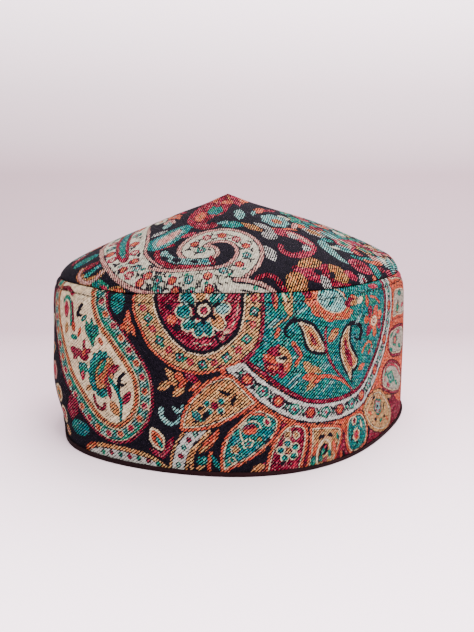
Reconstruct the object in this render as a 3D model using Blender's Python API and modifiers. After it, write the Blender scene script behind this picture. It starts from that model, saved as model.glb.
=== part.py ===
"""A Kashmiri cap: a stiff oval side band, a peaked crown sewn to it, and a dark edge binding.

The cap stands on its open lower edge. +X runs along the head's length, -Y is the side that
faces the viewer, and the origin is under the middle of the cap, on the surface it stands on.
Units are metres. Every piece is a turned profile whose rings are then drawn out to the oval plan.
"""

import math

import bpy

MM = 0.001

# The oval plan at the lower edge, and the two slow waves that the soft band has taken on.
# The waves are whole round the side they face, and gone at the back.
HALF_LENGTH = 96.1 * MM
HALF_WIDTH = 84.3 * MM
THREE_LOBE_WAVE = 0.026
THREE_LOBE_TURN = math.radians(23)
FOUR_LOBE_WAVE = 0.027
FOUR_LOBE_TURN = math.radians(34)
WAVES_FACE = math.radians(-107)
WAVES_WHOLE_WITHIN = math.radians(85)
WAVES_GONE_BEYOND = math.radians(150)

# Cloth walls, with their stiffening, and the gap kept between touching pieces
BAND_WALL = 2.4 * MM
CROWN_WALL = 2.0 * MM
BINDING_WALL = 0.8 * MM
SEAM_GAP = 0.3 * MM

# The edge binding folds round the band's lower edge and shows more at the left end
BINDING_OUTER_HEIGHT = 2.1 * MM
BINDING_OUTER_SLOPE = 0.7 * MM
BINDING_INNER_HEIGHT = 8.0 * MM
BINDING_ROUNDING = 0.3 * MM

# The crown leans a little: above its level seam, its +X side stands higher than its -X side
CROWN_LEAN = 0.7 * MM
LEAN_STARTS_OVER = 7.0 * MM
LEAN_ENDS_WITHIN = 40.0 * MM

# Outer faces, from the top down: height in mm, and the share of the plan's size there
CROWN_PROFILE = (
    {"height": 119.4, "share": 0.000},
    {"height": 117.5, "share": 0.050},
    {"height": 114.6, "share": 0.125},
    {"height": 111.6, "share": 0.220},
    {"height": 108.2, "share": 0.330},
    {"height": 104.1, "share": 0.450},
    {"height": 99.5, "share": 0.575},
    {"height": 94.9, "share": 0.690},
    {"height": 91.0, "share": 0.782},
    {"height": 88.0, "share": 0.845},
    {"height": 85.8, "share": 0.887},
    {"height": 83.3, "share": 0.916},
    {"height": 80.9, "share": 0.934},
    {"height": 78.55, "share": 0.946},
)
BAND_PROFILE = (
    {"height": 78.25, "share": 0.948},
    {"height": 75.6, "share": 0.963},
    {"height": 71.5, "share": 0.977},
    {"height": 64.0, "share": 0.985},
    {"height": 50.0, "share": 0.989},
    {"height": 30.0, "share": 0.994},
    {"height": 12.0, "share": 1.000},
    {"height": 1.2, "share": 1.000},
)
BAND_FOOT = BAND_PROFILE[-1]["height"] * MM
SEAM_HEIGHT = CROWN_PROFILE[-1]["height"] * MM

MEAN_RADIUS = math.sqrt(HALF_LENGTH * HALF_WIDTH)
SIDES = 96


def wave_share(angle):
    """How much of the waves there is at an angle from +X, from 0 to 1."""
    away = math.acos(math.cos(angle - WAVES_FACE))
    share = (WAVES_GONE_BEYOND - away) / (WAVES_GONE_BEYOND - WAVES_WHOLE_WITHIN)
    share = min(1, max(0, share))
    return share * share * (3 - 2 * share)


def plan_radius(angle):
    """Distance from the plan's middle to its outline, at an angle from +X."""
    oval = 1 / math.hypot(math.cos(angle) / HALF_LENGTH, math.sin(angle) / HALF_WIDTH)
    three = THREE_LOBE_WAVE * math.cos(3 * angle - THREE_LOBE_TURN)
    four = FOUR_LOBE_WAVE * math.cos(4 * angle - FOUR_LOBE_TURN)
    return oval * (1 + wave_share(angle) * (three + four))


def plan_point(angle):
    return plan_radius(angle) * math.cos(angle), plan_radius(angle) * math.sin(angle)


def plan_outward(angle):
    """The direction straight out of the plan's outline."""
    step = math.radians(0.5)
    before_x, before_y = plan_point(angle - step)
    after_x, after_y = plan_point(angle + step)
    length = math.hypot(after_x - before_x, after_y - before_y)
    return (after_y - before_y) / length, (before_x - after_x) / length


def plan_middle():
    """The middle of the plan's box, which is moved to the origin."""
    outline = [plan_point(math.tau * side / SIDES) for side in range(SIDES)]
    xs = [x for x, _ in outline]
    ys = [y for _, y in outline]
    return (max(xs) + min(xs)) / 2, (max(ys) + min(ys)) / 2


MIDDLE_X, MIDDLE_Y = plan_middle()


def cloth(name, colour, roughness):
    material = bpy.data.materials.new(name)
    material.use_nodes = True
    shader = material.node_tree.nodes["Principled BSDF"]
    shader.inputs["Base Color"].default_value = (*colour, 1)
    shader.inputs["Roughness"].default_value = roughness
    shader.inputs["Metallic"].default_value = 0
    return material


def turned(name, points, closed):
    """A mesh turned once round Z from a profile of (radius, height) points, from the top down."""
    last = len(points) - 1
    edges = [(i, i + 1) for i in range(last)]
    if closed:
        edges.append((last, 0))
    outline = bpy.data.meshes.new(name + "_profile")
    outline.from_pydata([(radius, 0, height) for radius, height in points], edges, [])
    profile = bpy.data.objects.new(name + "_profile", outline)
    bpy.context.scene.collection.objects.link(profile)
    turn = profile.modifiers.new("turn", "SCREW")
    turn.steps = SIDES
    turn.render_steps = SIDES
    turn.use_merge_vertices = True
    turn.merge_threshold = 0.0001 * MM
    graph = bpy.context.evaluated_depsgraph_get()
    mesh = bpy.data.meshes.new_from_object(profile.evaluated_get(graph))
    bpy.data.objects.remove(profile)
    return mesh


def add_piece(name, mesh, material, collection):
    mesh.name = name
    mesh.materials.clear()
    mesh.materials.append(material)
    mesh.shade_smooth()
    mesh.set_sharp_from_angle(angle=math.radians(50))
    piece = bpy.data.objects.new(name, mesh)
    collection.objects.link(piece)
    return piece


def add_shell(name, table, wall, lean, material, collection):
    """A turned surface drawn out to the oval plan, which then gets its wall on the inside."""
    mesh = turned(name, [(row["share"] * MEAN_RADIUS, row["height"] * MM) for row in table], closed=False)
    for vertex in mesh.vertices:
        x, y, z = vertex.co
        angle = math.atan2(y, x)
        stretch = plan_radius(angle) / MEAN_RADIUS
        share_of_lean = min(1, (z - SEAM_HEIGHT) / LEAN_STARTS_OVER, math.hypot(x, y) / LEAN_ENDS_WITHIN)
        z += lean * share_of_lean * math.cos(angle)
        vertex.co = (x * stretch - MIDDLE_X, y * stretch - MIDDLE_Y, z)
    shell = add_piece(name, mesh, material, collection)
    solidify = shell.modifiers.new("wall", "SOLIDIFY")
    solidify.thickness = wall
    solidify.offset = -1
    solidify.use_even_offset = True


def add_binding(collection):
    """A strip folded round the band's lower edge: a U section that follows the plan's outline."""
    outer = SEAM_GAP + BINDING_WALL
    inner = -(BAND_WALL + SEAM_GAP)
    trough = BAND_FOOT - SEAM_GAP
    section = (
        (SEAM_GAP, BINDING_OUTER_HEIGHT),
        (outer - BINDING_ROUNDING, BINDING_OUTER_HEIGHT),
        (outer, BINDING_OUTER_HEIGHT - BINDING_ROUNDING),
        (outer, BINDING_ROUNDING),
        (outer - BINDING_ROUNDING, 0),
        (inner - BINDING_WALL + BINDING_ROUNDING, 0),
        (inner - BINDING_WALL, BINDING_ROUNDING),
        (inner - BINDING_WALL, BINDING_INNER_HEIGHT),
        (inner, BINDING_INNER_HEIGHT),
        (inner, trough),
        (SEAM_GAP, trough),
    )
    profile = [(MEAN_RADIUS + offset, height) for offset, height in section]
    mesh = turned("edge_binding", profile, closed=True)
    for vertex in mesh.vertices:
        x, y, z = vertex.co
        angle = math.atan2(y, x)
        offset = math.hypot(x, y) - MEAN_RADIUS
        if offset > 0 and z > BINDING_OUTER_HEIGHT - 1.5 * BINDING_ROUNDING:
            z -= BINDING_OUTER_SLOPE * math.cos(angle)
        edge_x, edge_y = plan_point(angle)
        out_x, out_y = plan_outward(angle)
        vertex.co = (edge_x + out_x * offset - MIDDLE_X, edge_y + out_y * offset - MIDDLE_Y, z)
    add_piece("edge_binding", mesh, cloth("binding_cloth", (0.030, 0.012, 0.015), 0.75), collection)


def main():
    for leftover in list(bpy.data.objects):
        bpy.data.objects.remove(leftover)
    cap = bpy.data.collections.new("kashmiri_cap")
    bpy.context.scene.collection.children.link(cap)
    add_shell("crown", CROWN_PROFILE, CROWN_WALL, CROWN_LEAN, cloth("crown_cloth", (0.12, 0.09, 0.09), 0.8), cap)
    add_shell("side_band", BAND_PROFILE, BAND_WALL, 0, cloth("band_cloth", (0.28, 0.17, 0.12), 0.8), cap)
    add_binding(cap)


main()
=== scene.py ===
"""The Kashmiri cap's looks: its woven shawl cloth, seams, stitching and edge binding."""

import math
import random
from collections import namedtuple

import bpy
import numpy as np
from mathutils import Euler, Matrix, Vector


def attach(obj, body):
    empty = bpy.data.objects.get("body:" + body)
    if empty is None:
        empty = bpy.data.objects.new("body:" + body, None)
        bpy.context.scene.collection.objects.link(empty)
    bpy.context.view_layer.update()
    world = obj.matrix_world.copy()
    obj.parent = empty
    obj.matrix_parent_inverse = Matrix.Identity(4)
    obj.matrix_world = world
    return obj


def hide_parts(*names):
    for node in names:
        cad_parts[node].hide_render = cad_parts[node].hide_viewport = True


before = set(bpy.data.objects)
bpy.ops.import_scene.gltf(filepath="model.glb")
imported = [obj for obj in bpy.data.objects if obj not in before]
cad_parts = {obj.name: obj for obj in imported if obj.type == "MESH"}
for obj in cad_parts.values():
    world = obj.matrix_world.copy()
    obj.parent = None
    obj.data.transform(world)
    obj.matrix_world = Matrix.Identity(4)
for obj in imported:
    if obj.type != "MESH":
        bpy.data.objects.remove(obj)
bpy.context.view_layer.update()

MM = 0.001

# The cap's form, in millimetres

HALF_LENGTH = 96.1
HALF_WIDTH = 84.3
THREE_LOBE_WAVE = 0.026
THREE_LOBE_TURN = math.radians(23)
FOUR_LOBE_WAVE = 0.027
FOUR_LOBE_TURN = math.radians(34)
WAVES_FACE = math.radians(-107)
WAVES_WHOLE_WITHIN = math.radians(85)
WAVES_GONE_BEYOND = math.radians(150)
MEAN_RADIUS = math.sqrt(HALF_LENGTH * HALF_WIDTH)

SEAM_HEIGHT = 78.4
TOPSTITCH_HEIGHT = 74.7
# The stitches lie a little below the band's outer face, in their groove
STITCH_LENGTH, STITCH_GAP, STITCH_THICKNESS = 2.3, 0.7, 0.5
STITCH_LIFT = -0.32
BAND_WALL = 2.4
CROWN_WALL = 2.0
CROWN_LEAN = 0.7
LEAN_STARTS_OVER = 7.0
LEAN_ENDS_WITHIN = 40.0
# The soft peak has settled a little to the left of where it was cut
PEAK_ASIDE = 2.9
PEAK_ASIDE_WITHIN = 26.0
# Grooves, rises and slow waves of the stiffened cloth, in mm
Swell = namedtuple("Swell", "at size width")
SEAM_GROOVE = Swell(at=78.3, size=-0.45, width=0.45)
STITCH_GROOVE = Swell(at=TOPSTITCH_HEIGHT, size=-0.5, width=0.55)
ROLL_OVER_STITCHES = Swell(at=76.6, size=0.22, width=1.1)
PUCKER = Swell(at=TOPSTITCH_HEIGHT, size=0.12, width=1.6)
PUCKER_PITCH = 3.1
CLOSING_SEAM = Swell(at=0, size=-0.55, width=0.7)
CLOSING_LIP = Swell(at=2, size=0.18, width=1.2)
BELLY_ROUND = Swell(at=-104, size=1.5, width=20)
BELLY_UP = Swell(at=28, size=1, width=17)
DIP_ROUND = Swell(at=-50, size=-1.7, width=20)
DIP_UP = Swell(at=SEAM_HEIGHT, size=1, width=10)
TUCK_ROUND = Swell(at=-112, size=4.6, width=20)
TUCK_UP = Swell(at=0, size=1, width=17)
CROWN_SEAM_GROOVE = Swell(at=0, size=-0.35, width=0.5)
CROWN_ROLL = Swell(at=1.8, size=0.06, width=1.2)
CROWN_DART = Swell(at=0, size=-0.5, width=0.7)
BAND_WAVES = 0.35
CROWN_WAVES = 0.4
# The binding's outer fold: its height as a share of its section's, and how that changes round the cap
FOLD_SHARE = 0.895
FOLD_SLOPE = 0.252
FOLD_RIPPLE = 0.038
FOLD_RIPPLE_PITCH = 7
FOLD_POINTS = 5

ProfilePoint = namedtuple("ProfilePoint", "height share")
CROWN_PROFILE = (
    ProfilePoint(119.4, 0.000),
    ProfilePoint(117.5, 0.050),
    ProfilePoint(114.6, 0.125),
    ProfilePoint(111.6, 0.220),
    ProfilePoint(108.2, 0.330),
    ProfilePoint(104.1, 0.450),
    ProfilePoint(99.5, 0.575),
    ProfilePoint(94.9, 0.690),
    ProfilePoint(91.0, 0.782),
    ProfilePoint(88.0, 0.845),
    ProfilePoint(85.8, 0.887),
    ProfilePoint(83.3, 0.916),
    ProfilePoint(80.9, 0.934),
    ProfilePoint(78.55, 0.946),
)
BAND_PROFILE = (
    ProfilePoint(78.25, 0.948),
    ProfilePoint(75.6, 0.963),
    ProfilePoint(71.5, 0.977),
    ProfilePoint(64.0, 0.985),
    ProfilePoint(50.0, 0.989),
    ProfilePoint(30.0, 0.994),
    ProfilePoint(12.0, 1.000),
    ProfilePoint(1.2, 1.000),
)

# The cloth's own directions: u runs round the band from the middle of its front, to the right
FRONT = math.radians(-107)
CROWN_TURN = -0.3
ROUND = math.tau * MEAN_RADIUS
FRONT_REACH = 128
PLAN_SIDES = 96

# Rows of the meshes from the top down, and the spacing of their columns on the front and at the back
BAND_ROWS, BAND_FINE, BAND_COARSE = 128, 0.56, 1.35
CROWN_ROWS, CROWN_FINE, CROWN_COARSE = 136, 0.62, 1.35
BINDING_FINE, BINDING_COARSE = 1.0, 2.0
RING_POINTS = 720


def plan_radius(angle):
    """Distance from the plan's middle to its outline, at angles from +X."""
    oval = 1 / np.hypot(np.cos(angle) / HALF_LENGTH, np.sin(angle) / HALF_WIDTH)
    away = np.arccos(np.clip(np.cos(angle - WAVES_FACE), -1, 1))
    share = np.clip((WAVES_GONE_BEYOND - away) / (WAVES_GONE_BEYOND - WAVES_WHOLE_WITHIN), 0, 1)
    share = share * share * (3 - 2 * share)
    three = THREE_LOBE_WAVE * np.cos(3 * angle - THREE_LOBE_TURN)
    four = FOUR_LOBE_WAVE * np.cos(4 * angle - FOUR_LOBE_TURN)
    return oval * (1 + share * (three + four))


def plan_middle():
    """The middle of the plan's box, which lies at the origin."""
    angle = np.arange(PLAN_SIDES) * math.tau / PLAN_SIDES
    x = plan_radius(angle) * np.cos(angle)
    y = plan_radius(angle) * np.sin(angle)
    return (x.max() + x.min()) / 2, (y.max() + y.min()) / 2


MIDDLE_X, MIDDLE_Y = plan_middle()


def smooth_path(points, spacing, closed=False):
    """Points about `spacing` apart on a Catmull-Rom curve through the given ones."""
    points = np.array(points, float)
    count = len(points)
    spans = count if closed else count - 1
    out = []
    for i in range(spans):
        if closed:
            a, b, c, d = (points[(i + k) % count] for k in (-1, 0, 1, 2))
        else:
            b, c = points[i], points[i + 1]
            a = points[i - 1] if i else 2 * b - c
            d = points[i + 2] if i + 2 < count else 2 * c - b
        steps = max(1, int(round(np.linalg.norm(c - b) / spacing)))
        t = (np.arange(steps) / steps)[:, None]
        bend, twist = 2 * a - 5 * b + 4 * c - d, 3 * b - a - 3 * c + d
        out.append(0.5 * (2 * b + (c - a) * t + bend * t**2 + twist * t**3))
    if not closed:
        out.append(points[-1:])
    return np.concatenate(out)


def path_length(path):
    """How far along a path each of its points is."""
    return np.concatenate([[0], np.cumsum(np.linalg.norm(np.diff(path, axis=0), axis=1))])


def even_rows(path, count):
    """Points at equal distances along a path, and how far along it each one is."""
    length = path_length(path)
    at = np.linspace(0, length[-1], count)
    return np.stack([np.interp(at, length, path[:, k]) for k in range(2)], 1), at


def column_angles(fine, coarse):
    """Angles round the cap, close together on the front and wider apart at the back."""
    front = np.arange(-FRONT_REACH, FRONT_REACH, fine)
    side = np.arange(FRONT_REACH, ROUND / 2, coarse)
    return np.concatenate([-side[:0:-1], front, side]) / MEAN_RADIUS + FRONT


def from_front(angle):
    """How far round the band an angle is from the middle of the front, in mm."""
    return (angle - FRONT) * MEAN_RADIUS


def from_back(angle):
    """How far round the band an angle is from the middle of the back, either way, in mm."""
    return np.abs((from_front(angle) + ROUND) % ROUND - ROUND / 2)


def swell(place, form):
    """A smooth rise, or a groove where its size is negative."""
    return form.size * np.exp(-(((place - form.at) / form.width) ** 2))


def grown(place, start, over):
    """A share that grows from 0 to 1 over a distance."""
    return np.clip((place - start) / over, 0, 1)


# The pattern

# Each colour is laid as a depth: how far a point of the cloth lies outside that colour, in mm
COLOURS = (
    "cream", "pale", "sage", "gold", "orange", "crimson", "rose", "blush", "sand", "teal", "green", "ice",
)
FAR = 3.0
MARGIN = 1.5
BEYOND = 1e9


class Pattern:
    """The woven pattern at a set of points of the cloth, laid shape by shape."""

    def __init__(self, u, v):
        self.u = u
        self.v = v
        self.depth = {colour: np.full(len(u), FAR) for colour in COLOURS}

    def lay(self, layers, low, high, distance):
        """Lays a shape within a box: one colour, or (colour, inset) layers from its edge inwards."""
        if isinstance(layers, str):
            layers = ((layers, 0),)
        u, v = self.u, self.v
        beside = (u > low[0] - MARGIN) & (u < high[0] + MARGIN)
        near = np.flatnonzero(beside & (v > low[1] - MARGIN) & (v < high[1] + MARGIN))
        if not len(near):
            return
        outside = distance(u[near], v[near])
        for colour, inset in layers:
            edge = np.clip(outside + inset, -FAR, FAR)
            for other in COLOURS:
                if other == colour:
                    self.depth[other][near] = np.minimum(self.depth[other][near], edge)
                else:
                    self.depth[other][near] = np.maximum(self.depth[other][near], -edge)

    def leaf(self, layers, u, v, length, width, turn):
        """A leaf with a point at both ends."""
        half, wide = length / 2, width / 2
        radius = (half * half + wide * wide) / (2 * wide)
        cos, sin = math.cos(math.radians(turn)), math.sin(math.radians(turn))

        def distance(x, y):
            along = np.abs((x - u) * cos + (y - v) * sin)
            across = np.abs((y - v) * cos - (x - u) * sin)
            lift = radius - wide
            tip = (along - half) * lift > across * half
            return np.where(tip, np.hypot(along - half, across), np.hypot(along, across + lift) - radius)

        self.lay(layers, (u - half, v - half), (u + half, v + half), distance)

    def leaves(self, *rows):
        """Leaves, a row for each: its layers, u, v, length, width and turn."""
        for row in rows:
            self.leaf(*row)

    def bloom(self, layers, u, v, length, width, turn=0, petals=0, notch=0.2):
        """An oval, or a flower whose outline has petals with notches between them."""
        a, b = length / 2, width / 2
        cos, sin = math.cos(math.radians(turn)), math.sin(math.radians(turn))

        def distance(x, y):
            along = ((x - u) * cos + (y - v) * sin) / a
            across = ((y - v) * cos - (x - u) * sin) / b
            reach = np.hypot(along, across)
            edge = 1
            if petals:
                edge = 1 - notch * (1 - np.abs(np.cos(petals / 2 * np.arctan2(across, along))))
            return (reach - edge) * min(a, b)

        size = max(a, b)
        self.lay(layers, (u - size, v - size), (u + size, v + size), distance)

    def blooms(self, *rows):
        """Blooms, a row for each: its layers, u, v, length and width, then its turn, petals and notch."""
        for row in rows:
            self.bloom(*row)

    def stem(self, layers, width, points, end_width=None):
        """A line through the points, whose width may change from start to end."""
        path = smooth_path(points, 1.2)
        if end_width is None:
            end_width = width
        half = np.linspace(width / 2, end_width / 2, len(path))
        self.lay_path(layers, path, half, max(width, end_width) / 2)

    def patch(self, layers, points):
        """A rounded area with the points on its outline."""
        path = smooth_path(points, 1.5, closed=True)
        self.lay(layers, path.min(0), path.max(0), lambda x, y: area_distance(x, y, path))

    def strip(self, layers, points):
        """A strip along a line: each layer's inset is minus half its width."""
        path = smooth_path(points, 1.5)
        self.lay_path(layers, path, np.zeros(len(path)), max(-inset for _, inset in layers))

    def lay_path(self, layers, path, half, size):
        """Lays a line with half its width given at each of its points."""
        low, high = path.min(0) - size, path.max(0) + size
        self.lay(layers, low, high, lambda x, y: path_distance(x, y, path, half))


def path_distance(x, y, path, half):
    """How far points lie outside a line with half its width at each of its points."""
    nearest = np.full(len(x), BEYOND)
    for i in range(len(path) - 1):
        start, step = path[i], path[i + 1] - path[i]
        size = max(step @ step, 1e-12)
        t = np.clip(((x - start[0]) * step[0] + (y - start[1]) * step[1]) / size, 0, 1)
        away = np.hypot(x - start[0] - t * step[0], y - start[1] - t * step[1])
        nearest = np.minimum(nearest, away - (half[i] * (1 - t) + half[i + 1] * t))
    return nearest


def area_distance(x, y, path):
    """How far points lie outside a closed outline, and less than nothing inside it."""
    nearest = np.full(len(x), BEYOND)
    inside = np.zeros(len(x), bool)
    following = np.roll(path, -1, axis=0)
    for start, end in zip(path, following):
        step = end - start
        size = max(step @ step, 1e-12)
        t = np.clip(((x - start[0]) * step[0] + (y - start[1]) * step[1]) / size, 0, 1)
        nearest = np.minimum(nearest, (x - start[0] - t * step[0]) ** 2 + (y - start[1] - t * step[1]) ** 2)
        if step[1]:
            beside = x < start[0] + (y - start[1]) / step[1] * step[0]
            inside ^= ((y >= start[1]) != (y >= end[1])) & beside
    return np.where(inside, -1, 1) * np.sqrt(nearest)


def beads(points, first, pitch):
    """Places every `pitch` mm along a smooth line: (u, v, heading in degrees)."""
    path = smooth_path(points, 0.5)
    length = path_length(path)
    for at in np.arange(first, length[-1], pitch):
        u, v = (np.interp((at, at + 0.5, at - 0.5), length, path[:, k]) for k in range(2))
        yield u[0], v[0], math.degrees(math.atan2(v[1] - v[2], u[1] - u[2]))


def lay_sprig(cloth, colour, place, aside, ahead, length, width, spread):
    """Four small leaves that cross at a place (u, v, heading)."""
    u, v, heading = place
    turn = math.radians(heading)
    for side in (-aside, aside):
        for forth in (-ahead, ahead):
            at_u = u - math.sin(turn) * side + math.cos(turn) * forth
            at_v = v + math.cos(turn) * side + math.sin(turn) * forth
            cloth.leaf(colour, at_u, at_v, length, width, heading + math.copysign(spread, side * forth))


def cream_edged(colour, edge):
    """The layers of a shape with a cream edge."""
    return ("cream", 0), (colour, edge)


# The band's motifs: u and v in mm, v from the surface up

LEFT_PAISLEY = (
    (-61.5, 80), (-59.8, 74), (-56.8, 67.3), (-52.7, 63.2), (-48.5, 58.2), (-44, 53), (-39.3, 46.5),
    (-37, 41.5), (-36.2, 35.7), (-36.4, 29), (-38.5, 22.3), (-41.8, 16.9), (-46.8, 12.3), (-52.7, 9.8),
    (-59.3, 9.6), (-65.2, 11.6), (-70.2, 14.4), (-76, 19), (-80.6, 23.6), (-86, 28.6), (-90.6, 34),
    (-94.4, 41), (-98.4, 49), (-101.6, 57), (-104, 66), (-104.6, 76), (-102, 88), (-94, 99), (-78, 103),
    (-68, 97), (-63, 88),
)
MIDDLE_BORDER_OUTER = (
    (-47.5, 80), (-46, 70.7), (-41, 59.8), (-37.7, 54.8), (-31.8, 49.8), (-25.2, 46.4), (-18.5, 44.9),
    (-10.2, 45.3), (-2.7, 47.8), (4, 50.5), (9, 54.6), (12, 60), (13.2, 66.5), (13.4, 74), (13.3, 80),
)
MIDDLE_BORDER_TOP = ((12, 92), (-16, 98), (-46, 92))
MIDDLE_FIELD_TOP = ((4, 90), (-16, 94), (-37, 90))
MIDDLE_BORDER_INNER = (
    (-38, 80), (-36.6, 74), (-34.3, 68.2), (-31, 62.8), (-26, 57.3), (-20.2, 53.6), (-13.5, 52.4),
    (-7.7, 53.8), (-1.8, 57.3), (3, 62.3), (5, 68.2), (5.7, 74), (5.9, 80),
)
RIGHT_ROUND = (
    (9, 92), (10, 80), (10, 66), (8, 57), (5, 50.8), (12.3, 44.9), (19, 39.4), (25.7, 35), (33.2, 31),
    (42.3, 29.2), (50.7, 28.8), (59, 29.3), (67.3, 31.2), (74, 34.8), (79.8, 39.8), (85.7, 45.7),
    (89.8, 50.7), (92.5, 56), (94.4, 61), (95.7, 67), (96.2, 74), (96.4, 80), (96, 92), (60, 97), (30, 97),
)
FLORET_BORDER = (
    (1, 48.6), (6.1, 42.9), (12.3, 38), (19.2, 33.3), (26.5, 29.2), (35.3, 26.2), (43.6, 25), (52.8, 24.6),
    (62.3, 25.7), (70.5, 28), (78.5, 32.8), (85, 38), (91, 44.2), (95.8, 51), (99, 58), (100.8, 66),
    (101.4, 74), (101.6, 82),
)


def lay_band_pattern(cloth):
    for lay in (
        lay_left_paisley, lay_carnation, lay_paisley_sprigs, lay_fillers, lay_upright_strip, lay_left_edge,
        lay_side_stem, lay_petal_ground, lay_floret_border, lay_left_petals, lay_foot_petals,
        lay_side_petals, lay_right_round, lay_dark_heart_flower, lay_small_paisleys, lay_field_foot,
        lay_orange_flower, lay_right_flower, lay_middle_border, lay_middle_flower, lay_bottom_strip,
    ):
        lay(cloth)


def lay_left_paisley(cloth):
    """The large paisley on the left, with florets and sprigs in its green border."""
    layers = (
        ("crimson", 0), ("cream", 1.3), ("green", 1.9), ("ground", 6.3), ("cream", 6.5), ("gold", 7.2),
        ("orange", 8.0), ("gold", 8.6), ("cream", 9.5),
    )
    cloth.patch(layers, LEFT_PAISLEY)
    row = (
        (-65.6, 82), (-63.6, 74), (-60, 67.4), (-56, 63), (-51.8, 57.4), (-47.2, 51.6), (-43, 45.2),
        (-40.8, 39), (-40.2, 33), (-41, 27), (-44.2, 21.2), (-48.8, 17), (-54.5, 14), (-60.5, 13.8),
        (-67, 15.8), (-73, 20), (-78.6, 25.2), (-83.6, 30), (-87.6, 35.6), (-91, 42.6), (-94.8, 50),
        (-97.6, 58), (-99.8, 67), (-100.4, 77),
    )
    for i, (u, v, heading) in enumerate(beads(row, 2.2, 6.5)):
        cloth.bloom("cream", u, v, 4.4, 4.2, heading, 5, 0.2)
        cloth.bloom("rose" if i % 2 else "orange", u, v, 3.1, 2.9, heading, 5, 0.25)
        cloth.bloom("crimson" if i % 2 else "gold", u, v, 1.1, 1.1)
    for place in beads(row, 5.4, 6.5):
        lay_sprig(cloth, "ice", place, 1.15, 0.95, 2.0, 0.7, 48)


def lay_carnation(cloth):
    """The left paisley's middle flower, with its striped heart."""
    cloth.blooms(
        ((("teal", 0), ("ground", 2.7), ("green", 3.0)), -63.6, 41, 14.4, 21, -14, 13, 0.11),
        ((("teal", 0), ("ground", 1.4), ("teal", 1.8)), -62.6, 32.8, 8.4, 6.6, 20, 7, 0.16),
    )
    cloth.leaves(
        ("cream", -55.6, 37.6, 9, 5, 62),
        ((("ground", -0.5), ("gold", 0), ("orange", 2.2)), -61.2, 40.8, 17, 9.4, 62),
        ("green", -62.6, 43.4, 11, 2.2, 58), ("gold", -61.4, 41, 13, 1.4, 62),
        ("crimson", -59.4, 39.2, 9, 1.3, 64), ("crimson", -56, 43.6, 7.2, 3.2, 34),
        ("crimson", -58.6, 33.4, 7.6, 2.8, -80), ("green", -57.2, 37.6, 6, 2, -48),
    )


def lay_paisley_sprigs(cloth):
    """Small flowers and sprigs round the left paisley's middle flower."""
    cloth.patch(
        (("green", 0), ("teal", 1.5)),
        ((-72.6, 60), (-71.4, 63.6), (-69.6, 61.8), (-68.2, 65.6), (-66.8, 61.8), (-64.8, 62.6),
         (-64, 58.4), (-66.2, 56.4), (-67.8, 51.6), (-70, 55.4), (-71.8, 57.4)),
    )
    cloth.stem("ground", 0.7, ((-70, 61), (-68.4, 57), (-68, 53.4)))
    cloth.stem("ground", 0.6, ((-67, 61), (-67.6, 57.6)))
    cloth.leaf("green", -73.2, 64.4, 5.4, 1.9, 40)
    cloth.stem("ground", 1.4, ((-74.6, 70.4), (-76.6, 68), (-77.6, 65.4)), end_width=2.4)
    cloth.stem("ground", 1.7, ((-77.4, 65.8), (-75.8, 65.2), (-74.6, 66)), end_width=1.0)
    cloth.leaves(
        ("crimson", -80.4, 48, 7.6, 4, -18), ("crimson", -79.8, 46, 5.4, 2.6, 40),
        ("crimson", -76.6, 48, 5.6, 3.4, -30), ("crimson", -73.4, 46.4, 6.4, 3, 15),
        ("orange", -73.4, 48.6, 5.4, 2.6, 60), ("crimson", -71, 49.6, 4.4, 2.2, 30),
        ("crimson", -73.6, 52, 6, 2, 78),
    )
    cloth.blooms(("teal", -74.5, 41.4, 7.6, 5.2, -10, 5, 0.25), ("green", -75, 39, 4, 5.4))
    cloth.leaf("rose", -74.9, 38, 5.4, 2.8, 85)
    cloth.stem("ground", 1.5, ((-50.2, 42.4), (-52.4, 40.6), (-53.2, 38), (-53.6, 34.4)), end_width=2.6)
    cloth.stem("ground", 1.9, ((-53, 37.4), (-51.2, 36.8), (-49.4, 38)), end_width=0.9)
    cloth.leaf("crimson", -49.3, 31.4, 7.6, 3.4, 58)
    cloth.stem(
        "teal", 1.9, ((-57, 37.4), (-54.8, 35), (-52.9, 31), (-52.2, 27), (-52.6, 20.4)), end_width=1.0,
    )
    cloth.stem(
        "crimson", 1.4, ((-67.7, 29.8), (-66.6, 26.4), (-64.2, 24.2), (-61.6, 24.8), (-61.2, 26.6)),
        end_width=1.8,
    )
    cloth.leaves(
        ("gold", -55.7, 25.6, 7.6, 4.2, -56), ("gold", -70.8, 32.6, 5, 2, 40),
        ("orange", -63.2, 55, 4, 2.2, -60),
    )
    cloth.stem("green", 1.6, ((-90, 70), (-87.5, 72.3), (-84, 71), (-82.8, 66), (-83, 60)))
    cloth.bloom("rose", -87, 66.5, 4, 7)
    cloth.stem("crimson", 1.8, ((-82.2, 70), (-81.4, 65), (-80.8, 58)))
    cloth.bloom("orange", -81, 59.6, 3, 4.6)
    cloth.leaf("gold", -87, 58, 6, 3, 70)
    cloth.bloom("green", -80.8, 54.6, 5, 2.4)
    cloth.stem("crimson", 2, ((-94, 75.4), (-88, 76), (-83, 74)))
    cloth.leaf("orange", -76.6, 57.5, 6, 1.8, 65)


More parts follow.
